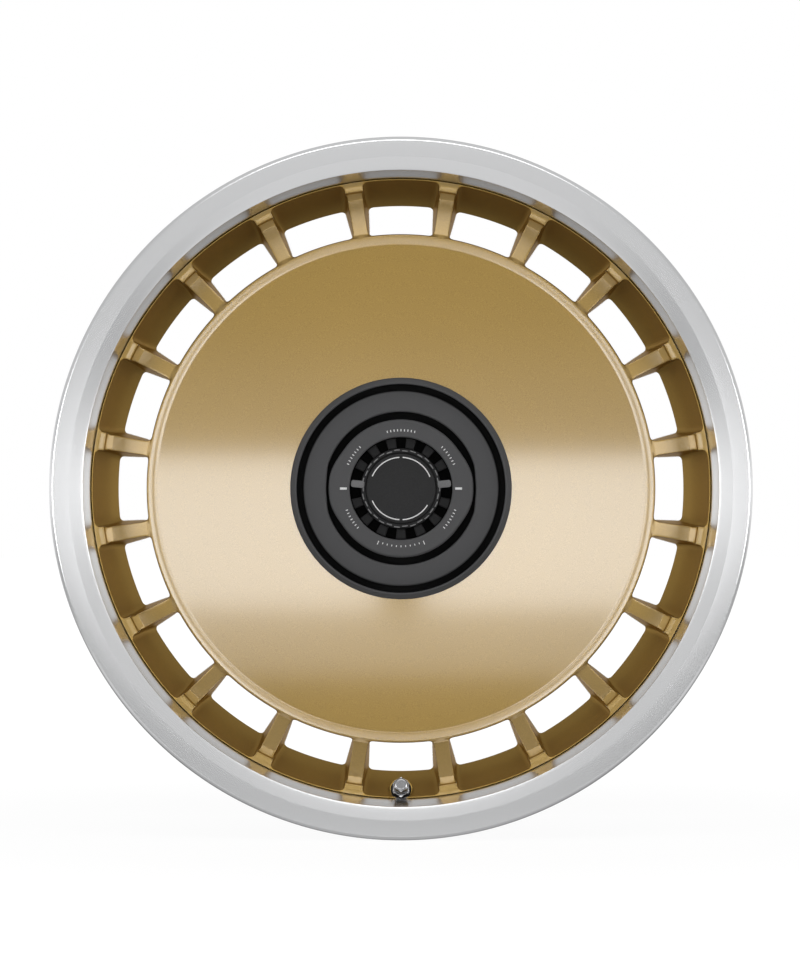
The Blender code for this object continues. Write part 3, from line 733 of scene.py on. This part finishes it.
def wheel_centre():
    inner_border = BEAD_RADIUS - 1.2
    outer_border = BEAD_RADIUS + 37.1
    rear_border = register_radius(RING_REAR) - RING_GAP - 1.2
    pocket_inner = POCKET_RADIUS + 17.4
    shape = Shape()
    window = window_rows(inner_border, outer_border, rear_border)
    pocket, middle = rear_pocket_rows(pocket_inner, inner_border)
    for index in range(SPOKE_COUNT):
        angle = index * SPOKE_PITCH
        add_rows(shape, window, angle)
        floor_ring = add_rows(shape, pocket, angle)[-1]
        spot = Matrix.Rotation(angle, 3, "Z") @ Vector((*middle, HALF_WIDTH - REAR_POCKET_FLOOR))
        shape.bridge(floor_ring, shape.ring([spot]) * len(floor_ring))
    disc = [point for point in FRONT_PATH if point.x < inner_border]
    disc.append(Vector((inner_border, depth_on(FRONT_PATH, inner_border))))
    rim = [Vector((outer_border, depth_on(FRONT_PATH, outer_border)))]
    rim += [point for point in FRONT_PATH if point.x > outer_border or point.y > RING_REAR - 2]
    rim.append(Vector((rear_border, RING_REAR)))
    back = [point for point in REAR_PATH if point.x < pocket_inner]
    back.append(Vector((pocket_inner, depth_on(REAR_PATH, pocket_inner))))
    hidden = [disc[-1] + Vector((-1.0, 5.0)), Vector((POCKET_RADIUS + 6.0, 24.0)), back[0]]
    shape.lathe(by_height(disc[-1:] + hidden + back[1:]), WHEEL_ANGLES, closed=False)
    shape.lathe(by_height(rim), WHEEL_ANGLES, closed=False)
    centre = shape.finished("centre_spokes", weld=0.02, sharp=CENTRE_CREASE)
    face = Shape()
    under = [disc[-1] + Vector((-1.2, 6.0)), Vector((POCKET_RADIUS, 26.0))]
    face.lathe(by_height(disc + under), WHEEL_ANGLES)
    disc_face = face.finished("centre_disc", sharp=CENTRE_CREASE)
    show(disc_face, None, "wheel", GOLD)
    room, reach = BOSS_RADIUS + FIT_GAP, 40.0
    notch = [(0, reach, 0), (room, reach, 0), (room, -reach, 0), (0, -reach, 0)]
    carve(centre, on_valve("valve_notch", notch, 64, False), sharp=CENTRE_CREASE)
    show(centre, "wheel_centre", "wheel", GOLD_BAND_PAINTED_LIGHTER)

    wall_start, lip_start, head_half_width = 0.9, BEAD_RADIUS + 35.6, 6.2

    def in_window(spot):
        radius = math.hypot(spot.x, spot.z) / MM
        depth = HALF_WIDTH + spot.y / MM
        if radius < inner_border or depth > RING_REAR - 1.0:
            return False
        turns = math.atan2(spot.z, spot.x) / SPOKE_PITCH
        from_spoke = abs(turns - math.floor(turns) - 0.5) * SPOKE_PITCH * radius
        beside_lip = radius > lip_start and from_spoke > head_half_width
        return beside_lip or depth > depth_on(FRONT_PATH, radius) + wall_start

    # Painted light: the window walls get the copy of the gold that is painted lighter still.
    repaint(centre, GOLD_WALL_PAINTED_LIGHTER, in_window)


def hub_pad():
    bore, floor, pad = HUB_BORE_RADIUS, POCKET_FLOOR, MOUNT_DEPTH
    points = [
        (bore - 2.0, floor, 0.6), (POCKET_RADIUS + 0.4, floor, 0.0),
        (POCKET_RADIUS + 11.6, pad - 0.4, 0.0), (POCKET_RADIUS + 11.0, pad, 0.4),
        (bore + 0.8, pad, 0.0), (bore, pad - 0.8, 0.0), (bore, pad - 12.0, 0.0),
        (bore - 2.0, pad - 12.0, 0.4),
    ]
    hub = turned("centre_hub", points, even_angles(160))
    hole = [
        (0, floor - 5.0, 0), (12.5, floor - 5.0, 0), (12.5, floor, 0), (7.3, floor + 9.0, 0),
        (7.3, pad - 0.8, 0), (8.4, pad + 0.3, 0), (8.4, pad + 5.0, 0), (0, pad + 5.0, 0),
    ]
    for angle in even_angles(HUB_HOLE_COUNT):
        spot = polar(HUB_HOLE_CIRCLE_RADIUS, math.pi / 2 + angle).to_3d()
        place = STAND_UP @ Matrix.Translation(spot * MM)
        carve(hub, turned("hub_hole", hole, even_angles(40), place, closed=False))
    show(hub, None, "wheel", GOLD)


# Bright rim shell.


def ear_cutter():
    """Gaps between the mounting ears, and the bolt holes through them."""
    cutter = Shape()
    hole_radius = 3.6
    depths = (EAR_DEPTH - 12.0, EAR_REAR + 10.0)
    for index in range(SPOKE_COUNT):
        rows = [lifted(window_outline(depth, WELL_BORE - 2.5), depth) for depth in depths]
        for ring in add_rows(cutter, rows, index * SPOKE_PITCH):
            cutter.mesh.faces.new(ring)
    for index in range(SPOKE_COUNT):
        angle = (index + 0.5) * SPOKE_PITCH
        spot = polar(BOLT_CIRCLE_RADIUS, angle)
        circle = [spot + polar(hole_radius, turn) for turn in even_angles(20)]
        rings = [cutter.ring(lifted(circle, depth)) for depth in depths]
        for ring in rings:
            cutter.mesh.faces.new(ring)
        cutter.bridge(*rings)
    return cutter.finished("ear_cutter")


def rim_shell():
    edge, seat, bore, wide = RIM_RADIUS, SEAT_RADIUS, WELL_BORE, 2 * HALF_WIDTH
    flange = [
        (edge, 9.0, 3.4), (edge - 3.4, FLANGE_THICKNESS, 2.6), (seat + 5.0, FLANGE_THICKNESS, 4.0),
        (seat + 0.2, 16.0, 4.0), (seat - 1.4, 35.0, 2.0), (seat - 0.3, 39.0, 2.4),
    ]
    points = [
        (REGISTER_RADIUS, REGISTER_DEPTH, 0.5), (seat - 5.0, 3.1, 0.3), (seat - 1.5, 1.85, 2.4),
        (seat + 3.9, 0.05, 0.0), (edge - 2.4, 1.6, 0.5), (edge, 3.6, 2.6),
        *flange,
        (seat - 5.8, 49.5, 5.0), (WELL_RADIUS, 71.0, 9.0), (WELL_RADIUS, wide - 92.0, 12.0),
        (seat - 4.6, wide - 62.0, 12.0), (seat - 2.4, wide - 44.0, 3.0),
        *[(radius, wide - depth, rounding) for radius, depth, rounding in flange[::-1]],
        (edge, wide - 3.4, 3.0), (edge - 3.4, wide, 2.6), (seat + 3.4, wide, 2.6),
        (seat - 5.0, wide - 14.0, 8.0), (seat - 9.8, wide - 62.0, 10.0), (bore, wide - 90.0, 10.0),
        (bore, EAR_REAR, 2.0), (bore - 20.5, EAR_REAR, 0.8), (bore - 20.5, EAR_DEPTH, 0.0),
        (bore, EAR_DEPTH, 0.0),
    ]
    shell = turned("rim_barrel", points, WHEEL_ANGLES, sharp=SHELL_CREASE)
    carve(shell, ear_cutter(), sharp=SHELL_CREASE)
    rear = -VALVE_GRIP - 6.0
    boss = [(0, 0, 0), (BOSS_RADIUS, 0, 0.5), (BOSS_RADIUS, rear, 0), (0, rear, 0)]
    carve(shell, on_valve("boss", boss, closed=False), "UNION", SHELL_CREASE)
    bores = [
        (0, 30.0, 0), (7.6, 30.0, 0), (7.6, 0.0, 0), (4.3, 0.0, 0), (4.3, -VALVE_GRIP, 0),
        (6.8, -VALVE_GRIP, 0), (6.8, -60.0, 0), (0, -60.0, 0),
    ]
    carve(shell, on_valve("bores", bores, closed=False), sharp=SHELL_CREASE)
    show(shell, "rim_shell", "wheel", ALLOY)
    to_valve = VALVE_PLACE.inverted()
    painted_depth = 14.0

    def on_boss(spot):
        along_valve = to_valve @ spot / MM
        near = along_valve.xy.length < BOSS_RADIUS + 0.1
        return near and -painted_depth < along_valve.z < 1.0

    repaint(shell, GOLD_WALL_PAINTED_LIGHTER, on_boss)


# Assembly bolts with a hexagon socket in a rounded head.


def hexagon(flats, angle):
    """Radius of a hexagon at an angle, flats facing 0, 60, 120 degrees and so on."""
    return flats / 2 / math.cos((angle + math.pi / 6) % (math.pi / 3) - math.pi / 6)


def assembly_bolts():
    socket = 5.0
    points = [
        (0, 24.3, 0), (2.6, 24.3, 0), (3.3, 23.5, 0), (3.3, 0.0, 0.2), (4.9, 0.0, 0.2),
        (4.9, -6.0, 0.9), (3.1, -6.0, 0.2), (2.6, -5.4, 0), (2.6, -3.0, 0), (0, -2.4, 0),
    ]

    def socketed(point, angle):
        inside = point.x < 2.9 and -5.5 < point.y < 0
        return Vector((hexagon(socket, angle), point.y)) if inside else point

    for index in range(SPOKE_COUNT):
        angle = (index + 0.5) * SPOKE_PITCH
        spot = Vector((*polar(BOLT_CIRCLE_RADIUS, angle), HALF_WIDTH - EAR_REAR - FIT_GAP))
        place = STAND_UP @ Matrix.Translation(spot * MM)
        number = f"{index + 1:02d}"
        bolt = turned(f"bolt_{number}", points, even_angles(36), place, False, socketed, False)
        show(bolt, f"assembly_bolt_{number}", "wheel", STEEL)


# Centre cover.


def lug_share(angle, full, none):
    """One at the two side lugs, falling to nothing away from them."""
    away = math.degrees(abs(math.asin(max(-1.0, min(1.0, math.sin(angle))))))
    share = min(1.0, max(0.0, (none - away) / (none - full)))
    return share * share * (3 - 2 * share)


COVER_ANGLES = even_angles(240)


def cover_dish():
    def dish_lugs(point, angle):
        depth = HALF_WIDTH - point.y
        if abs(point.x - GROOVE_RADIUS) < 1.6 and 13.5 < depth < 25.9:
            return Vector((point.x - 1.2 * lug_share(angle, 6.0, 20.0), point.y))
        return point

    skirt = POCKET_RADIUS - FIT_GAP
    points = [
        (30.3, 26.0, 0.3), (GROOVE_RADIUS, 26.0, 0.6), (GROOVE_RADIUS, 14.7, 0.5),
        (GROOVE_RADIUS + 0.9, 14.0, 0.6), (skirt - 6.9, 15.2, 0.5), (skirt - 6.1, 15.9, 0.5),
        (skirt - 6.1, 23.0, 1.5), (skirt - 1.5, 23.0, 1.5), (skirt - 1.5, 13.0, 0.4),
        (skirt - 0.6, 12.5, 0.6), (COVER_EDGE, 15.4, 0.8), (COVER_EDGE, DOME_TOP - FIT_GAP, 0.3),
        (skirt, DOME_TOP - FIT_GAP, 0.0), (skirt, 40.0, 0.0), (skirt - 1.7, 40.0, 0.0),
        (skirt - 1.7, 43.0, 0.0), (skirt, 43.0, 0.0), (skirt, 46.0, 0.6), (skirt - 4.2, 46.0, 0.6),
        (skirt - 4.2, 30.0, 1.5), (30.3, 30.0, 0.3),
    ]
    dish = turned("cover_dish_body", points, COVER_ANGLES, change=dish_lugs)
    show(dish, "cover_dish", "wheel", CHARCOAL)
    snap = [
        (skirt - 1.4, 40.3, 0.5), (POCKET_RADIUS + 1.1, 40.3, 0.5),
        (POCKET_RADIUS + 1.1, 42.7, 0.5), (skirt - 1.4, 42.7, 0.5),
    ]
    ring = turned("snap_ring", snap, COVER_ANGLES)
    show(ring, "cover_snap_ring", "wheel", SPRING)


def lock_nut():
    def nut_lugs(point, angle):
        depth = HALF_WIDTH - point.y
        if point.x > NUT_RADIUS - 1.7 and 12.3 < depth < 25.9:
            return Vector((point.x + 2.2 * lug_share(angle, 8.0, 36.0), point.y))
        return point

    points = [
        (0, 24.0, 0), (34.5, 24.0, 0.3), (34.5, 13.0, 0.4), (35.2, 12.3, 0.5),
        (NUT_RADIUS - 1.2, 12.7, 0.8), (NUT_RADIUS, 13.8, 0.8), (NUT_RADIUS, 25.7, 0.4),
        (30.0, 25.7, 0.3), (30.0, 30.0, 0.0), (28.5, 30.0, 0.0), (28.5, 32.2, 0.0),
        (30.0, 32.2, 0.0), (30.0, 33.9, 0.5), (0, 33.9, 0),
    ]
    nut = turned("lock_nut_body", points, COVER_ANGLES, closed=False, change=nut_lugs)
    show(nut, "lock_nut", "lock_nut", NUT_GREY)
    clip = [(28.8, 30.3, 0.3), (34.0, 30.3, 0.3), (34.0, 31.9, 0.3), (28.8, 31.9, 0.3)]
    circlip = turned("circlip", clip, COVER_ANGLES)
    show(circlip, "nut_circlip", "lock_nut", SPRING)


def lock_crown():
    """Black channel with castellations, and the two grey tabs that lie across it."""
    half_tooth = math.radians(5.4)
    side = math.radians(0.7)
    flank = [
        (half_tooth - side, 1.0), (half_tooth + side / 2, 0.9), (half_tooth + side, 0.06),
        (half_tooth + 1.6 * side, 0.0),
    ]
    rise = [(-offset, height) for offset, height in flank[::-1]]
    steps = [(-TOOTH_PITCH / 2, 0.0), *rise, (0.0, 1.0), *flank]
    angles = []
    raised = {}
    for index in range(TOOTH_COUNT):
        middle = -math.pi / 2 + index * TOOTH_PITCH
        for offset, height in steps:
            angles.append(middle + offset)
            raised[middle + offset] = 0.0 if index in TAB_TEETH else height

    def teeth(point, angle):
        depth = HALF_WIDTH - point.y
        if 17.6 < depth < 21.5 and 27.4 < point.x < 34.1:
            return Vector((point.x, point.y + 3.6 * raised[angle]))
        return point

    points = [
        (0, 17.0, 0), (23.9, 17.0, 0.3), (23.9, 14.2, 0.2), (24.7, 13.5, 0.3), (26.3, 13.5, 0.3),
        (27.0, 14.6, 0.3), (27.0, 19.6, 0.0), (27.5, 20.0, 0.0), (33.8, 20.0, 0.0),
        (34.0, 20.3, 0.0), (34.2, 21.6, 0.0), (34.2, 23.7, 0.3), (0, 23.7, 0),
    ]
    crown = turned("crown_body", points, angles, closed=False, change=teeth)
    show(crown, "lock_crown", "lock_nut", BLACK)
    for index, name in TAB_TEETH.items():
        show(lock_tab(f"{name}_body", index), name, "lock_nut", TAB_GREY)


def lock_tab(name, index):
    """A tab that stands in the channel at one tooth and laps over the ring inside it."""
    inner, foot, outer = 24.8, 27.6, 33.7
    front, under, rear = 12.75, 13.25, 19.7
    half_width = 2.4
    section = [
        (inner, front), (outer, front), (outer, rear), (foot, rear), (foot, under), (inner, under),
    ]
    shape = Shape()
    sides = []
    for across in (-half_width, half_width):
        sides.append(shape.ring([(radius, across, HALF_WIDTH - depth) for radius, depth in section]))
        shape.mesh.faces.new(sides[-1])
    shape.bridge(*sides)
    near = 1e-6
    ends = []
    for corner in (vert for side in sides for vert in side[:2]):
        for edge in corner.link_edges:
            if abs(edge.verts[0].co.z - edge.verts[1].co.z) > near:
                ends.append(edge)
    round_edges(shape, ends, 1.5, 5)
    top = max(vert.co.z for vert in shape.mesh.verts)
    rim = [edge for edge in shape.mesh.edges if all(vert.co.z > top - near for vert in edge.verts)]
    round_edges(shape, rim, 0.3, 2)
    spin = Matrix.Rotation(-math.pi / 2 + index * TOOTH_PITCH, 4, "Z")
    bmesh.ops.transform(shape.mesh, matrix=spin, verts=shape.mesh.verts[:])
    return shape.finished(name)


def round_edges(shape, edges, size, segments):
    bmesh.ops.bevel(
        shape.mesh, geom=edges, offset=size * MM, segments=segments, profile=0.5, affect="EDGES"
    )


def printed(name, marks, depth_of, material):
    """Thin printed strips, each from an inner to an outer radius and over a span of degrees."""
    shape = Shape()
    for inner, outer, start, end in marks:
        steps = max(2, round((end - start) / 2))
        angles = [math.radians(start + (end - start) * step / steps) for step in range(steps + 1)]
        rows = []
        for radius, rise in ((inner, -0.2), (inner, 0.06), (outer, 0.06), (outer, -0.2)):
            height = HALF_WIDTH - depth_of(radius) + rise
            row = [(radius * math.cos(a), radius * math.sin(a), height) for a in angles]
            rows.append(shape.ring(row))
        for first, second in zip(rows, rows[1:]):
            shape.bridge(first, second, closed=False)
    show(shape.finished(name), None, "lock_nut", material)


def nut_marks():
    """Plain printed ticks where the real nut and badge carry their legends."""
    ticks = []
    for middle, count in ((90, 9), (35, 7), (145, 7), (-32, 7), (-148, 7)):
        for step in range(count):
            angle = middle + (step - (count - 1) / 2) * 3.4
            ticks.append((38.4, 39.9, angle - 0.45, angle + 0.45))
    for step in range(-5, 6):
        angle = -90 + step * 4.6
        ticks.append((38.2, 40.8 if abs(step) == 5 else 39.4, angle - 0.4, angle + 0.4))
    ticks += [(36.4, 41.0, angle - 1.1, angle + 1.1) for angle in (0, 180)]
    printed("nut_marks", ticks, lambda r: 12.3 + 0.4 * (r - 35.2) / 10.1, PRINT)
    spans = ((93, 64), (22, 65), (203, 64), (273, 55))
    arcs = [(20.6, 21.3, start, start + span) for start, span in spans]
    printed("badge_marks", arcs, lambda r: 13.15 + 0.45 * (r - 14.0) / 8.6, PRINT)
    dashes = []
    for index in range(30):
        inner = 25.0 if index % 2 else 25.6
        dashes.append((inner, inner + 0.75, index * 12 - 4.2, index * 12 + 4.2))
    printed("crown_dashes", dashes, lambda r: 13.45, DASH_GREY)


def badge_disc():
    points = [
        (0, 13.0, 0), (14.0, 13.15, 4.0), (22.6, 13.6, 1.0), (23.6, 14.3, 0.5), (23.6, 16.7, 0.2),
        (0, 16.7, 0),
    ]
    badge = turned("badge_body", points, even_angles(160), closed=False)
    show(badge, "badge_disc", "lock_nut", BADGE)


def spigot_ring():
    points = [
        (33.3, MOUNT_DEPTH - 11.7, 0.4), (37.7, MOUNT_DEPTH - 11.7, 0.4),
        (37.7, MOUNT_DEPTH - 0.5, 0.3), (34.5, MOUNT_DEPTH - 0.5, 0.3),
        (33.3, MOUNT_DEPTH - 1.7, 0.3),
    ]
    spigot = turned("spigot_body", points, even_angles(160))
    show(spigot, "spigot_ring", "wheel", SPIGOT)


# Tyre valve, drawn along its own axis with the boss face at zero.


def hexed(flats):
    """A change that makes a lathe piece hexagonal where it is as wide as its flats."""

    def change(point, angle):
        wide = point.x >= flats / 2
        return Vector((hexagon(flats, angle), point.y)) if wide else point

    return change


def valve():
    thread = []
    thread_pitch = 0.794
    for index in range(10):
        top = 16.4 - index * thread_pitch
        thread += [(3.6, top, 0), (3.6, top - 0.2, 0), (3.2, top - 0.45, 0), (3.2, top - 0.6, 0)]
    stem_points = [
        (2.3, 17.0, 0.2), (3.2, 17.0, 0.2),
        *thread,
        (3.6, 8.2, 0.1), (4.0, 8.0, 0.1), (4.0, -20.3, 0.2), (6.5, -20.3, 0.3), (6.5, -22.9, 0.5),
        (1.5, -22.9, 0.3), (1.5, -2.0, 0), (2.3, -2.0, 0),
    ]
    stem = on_valve("stem_body", stem_points)
    show(stem, "valve_stem", "wheel", SILVER)
    seal = [(4.3, -18.3, 0.3), (6.5, -18.3, 0.4), (6.5, -20.0, 0.4), (4.3, -20.0, 0.3)]
    show(on_valve("seal_body", seal), "valve_seal", "wheel", RUBBER)
    grommet = [(4.3, 2.3, 0.3), (5.9, 2.3, 0.8), (7.0, 1.2, 0.7), (7.0, 0.3, 0.2), (4.3, 0.3, 0.3)]
    show(on_valve("grommet_body", grommet), "valve_grommet", "wheel", RUBBER)
    nut = [
        (4.3, 6.7, 0.2), (4.7, 7.1, 0.2), (5.3, 7.1, 0.2), (5.5, 6.7, 0.3), (5.5, 3.0, 0.3),
        (5.3, 2.6, 0.2), (4.3, 2.6, 0.2),
    ]
    nut_body = on_valve("nut_body", nut, 72, change=hexed(11.0))
    show(nut_body, "valve_nut", "wheel", SILVER)
    core = [(1.05, 16.2, 0.2), (2.0, 16.2, 0.3), (2.0, -1.7, 0.2), (1.05, -1.7, 0.2)]
    show(on_valve("core_body", core, 32), "valve_core", "wheel", BRASS)
    pin = [(0, 16.7, 0), (0.55, 16.7, 0.2), (0.75, 16.4, 0.1), (0.75, -0.7, 0.1), (0, -0.7, 0)]
    show(on_valve("pin_body", pin, 24, False), "valve_pin", "valve_pin", BRASS)
    cap_seal = [(0, 18.2, 0), (3.6, 18.2, 0.2), (3.6, 17.3, 0.2), (0, 17.3, 0)]
    cap_seal_body = on_valve("cap_seal_body", cap_seal, 32, False)
    show(cap_seal_body, "valve_cap_seal", "valve_cap_seal", RUBBER)
    cap = [
        (0, 20.1, 0), (3.3, 20.1, 0.4), (4.3, 19.5, 0.3), (4.5, 18.9, 0.3), (4.5, 9.2, 0.3),
        (4.4, 8.3, 0.2), (3.9, 8.3, 0.2), (3.9, 18.5, 0.2), (0, 18.5, 0),
    ]
    cap_body = on_valve("cap_body", cap, 72, False, hexed(9.0))
    show(cap_body, "valve_cap", "valve_cap", SILVER)


wheel_centre()
hub_pad()
rim_shell()
assembly_bolts()
cover_dish()
lock_nut()
lock_crown()
nut_marks()
badge_disc()
spigot_ring()
valve()


# Studio: pale floor, soft light, and the camera of the photograph.

CAMERA_DISTANCE = 3.0
FRAME_WIDTH = 800
WHEEL_WIDTH_PX = 705
WHEEL_MIDDLE_PX = (401.0, 488.5)
FRAME_MIDDLE_PX = (400.0, 489.0)


def seen_as_background(graph, behind):
    """One for camera and transmission rays, and for glossy rays that look behind the wheel."""
    path = graph.node("ShaderNodeLightPath").outputs
    glossy = graph.math("MULTIPLY", path["Is Glossy Ray"], behind)
    plain = graph.math("MAXIMUM", path["Is Camera Ray"], path["Is Transmission Ray"])
    return graph.math("MAXIMUM", plain, glossy)


def studio_floor():
    data = bpy.data.meshes.new("floor")
    shape = bmesh.new()
    bmesh.ops.create_grid(shape, x_segments=1, y_segments=1, size=12.0)
    shape.to_mesh(data)
    shape.free()
    floor = linked("floor", data)
    floor.location.z = -RIM_RADIUS * MM
    floor.visible_glossy = False
    material = bpy.data.materials.new("pale_floor")
    material.use_nodes = True
    graph = Graph(material.node_tree)
    matt = graph.nodes["Principled BSDF"]
    fill(matt, Base_Color=(0.75, 0.75, 0.75, 1.0), Roughness=0.9)
    glow = graph.node("ShaderNodeEmission")
    place = graph.node("ShaderNodeTexCoord").outputs["Object"]
    fade = graph.span(graph.length(place), (0.3, 1.2), (1.04, 1.12))
    graph.join(fade, glow.inputs["Strength"])
    behind = graph.math("GREATER_THAN", graph.parts(place)["Y"], 0.3)
    share = graph.math("MULTIPLY", seen_as_background(graph, behind), 0.9)
    graph.blend(share, matt.outputs[0], glow.outputs[0], "Material Output")
    data.materials.append(material)


# Brightness of the studio from straight down, 0, through wheel height, 0.5, to straight up, 1.
FRONT_LEVELS = [
    (0.0, 0.45), (0.11, 0.45), (0.17, 0.62), (0.22, 0.76), (0.27, 0.72), (0.33, 0.35), (0.44, 0.28),
    (0.472, 1.08), (0.527, 1.08), (0.55, 0.42), (0.575, 0.22), (0.61, 0.58), (0.8, 0.5), (1.0, 0.6),
]
BACK_LEVELS = [
    (0.0, 0.4), (0.12, 0.2), (0.2, 0.2), (0.3, 0.34), (0.4, 0.5), (0.5, 0.95), (0.6, 0.6),
    (0.8, 0.5), (1.0, 0.6),
]


def studio_world():
    """White where the camera sees it; elsewhere a soft band that is brightest at wheel height."""
    world = bpy.data.worlds.new("studio")
    bpy.context.scene.world = world
    world.use_nodes = True
    graph = Graph(world.node_tree)
    sky = graph.nodes["Background"]
    parts = graph.parts(graph.node("ShaderNodeTexCoord").outputs["Generated"])
    height = graph.span(parts["Z"], (-1.0, 1.0))
    bands = graph.node("ShaderNodeMix", data_type="RGBA")
    graph.join(graph.span(parts["Y"], (-0.1, 0.3)), bands.inputs["Factor"])
    front_colour, back_colour, mixed_colour = bands.inputs[6], bands.inputs[7], bands.outputs[2]
    for socket, stops in ((front_colour, FRONT_LEVELS), (back_colour, BACK_LEVELS)):
        band = graph.node("ShaderNodeValToRGB")
        graph.join(height, band.inputs["Fac"])
        elements = band.color_ramp.elements
        while len(elements) < len(stops):
            elements.new(0.5)
        for element, (position, level) in zip(elements, stops):
            element.position = position
            element.color = (level, level, level, 1.0)
        graph.join(band.outputs["Color"], socket)
    graph.join(mixed_colour, sky.inputs["Color"])
    white = graph.node("ShaderNodeBackground")
    fill(white, Color=(1.0, 1.0, 1.0, 1.0))
    behind = graph.math("GREATER_THAN", parts["Y"], 0.93)
    seen = seen_as_background(graph, behind)
    graph.blend(seen, sky.outputs[0], white.outputs[0], "World Output")


def softbox(name, place, width, height, level, aim=(0.0, 0.0, 0.0)):
    """A flat lamp of a given brightness that faces a point, by default the wheel's middle."""
    data = bpy.data.lights.new(name, "AREA")
    data.shape = "RECTANGLE"
    data.size = width
    data.size_y = height
    data.energy = math.pi * width * height * level
    lamp = linked(name, data)
    lamp.location = place
    lamp.rotation_euler = (Vector(aim) - Vector(place)).to_track_quat("-Z", "Y").to_euler()


def studio_camera():
    data = bpy.data.cameras.new("camera")
    data.sensor_fit = "HORIZONTAL"
    data.sensor_width = 36.0
    seen_width = 2 * RIM_RADIUS * MM * FRAME_WIDTH / WHEEL_WIDTH_PX
    data.lens = data.sensor_width * CAMERA_DISTANCE / seen_width
    data.shift_x = (FRAME_MIDDLE_PX[0] - WHEEL_MIDDLE_PX[0]) / FRAME_WIDTH
    data.shift_y = (WHEEL_MIDDLE_PX[1] - FRAME_MIDDLE_PX[1]) / FRAME_WIDTH
    data.clip_end = 100.0
    camera = linked("camera", data)
    camera.location = (0.0, -HALF_WIDTH * MM - CAMERA_DISTANCE, 0.0)
    camera.rotation_euler = (math.radians(90), 0.0, 0.0)
    bpy.context.scene.camera = camera


studio_floor()
studio_world()
softbox("front_left_box", (-0.49, -3.8, -0.13), 0.86, 0.46, 6.0, (-0.49, 0.0, -0.13))
softbox("front_right_box", (0.49, -3.8, -0.13), 0.86, 0.46, 6.0, (0.49, 0.0, -0.13))
softbox("front_low_box", (0.0, -3.8, -0.46), 1.84, 0.2, 2.0, (0.0, 0.0, -0.46))
softbox("top_box", (0.0, -1.9, 2.3), 2.4, 1.2, 2.2)
softbox("left_box", (-2.5, -1.85, 0.1), 1.2, 1.3, 3.8)
softbox("right_box", (2.5, -1.85, 0.1), 1.2, 1.3, 3.8)
studio_camera()
bpy.context.scene.view_settings.view_transform = "Standard"
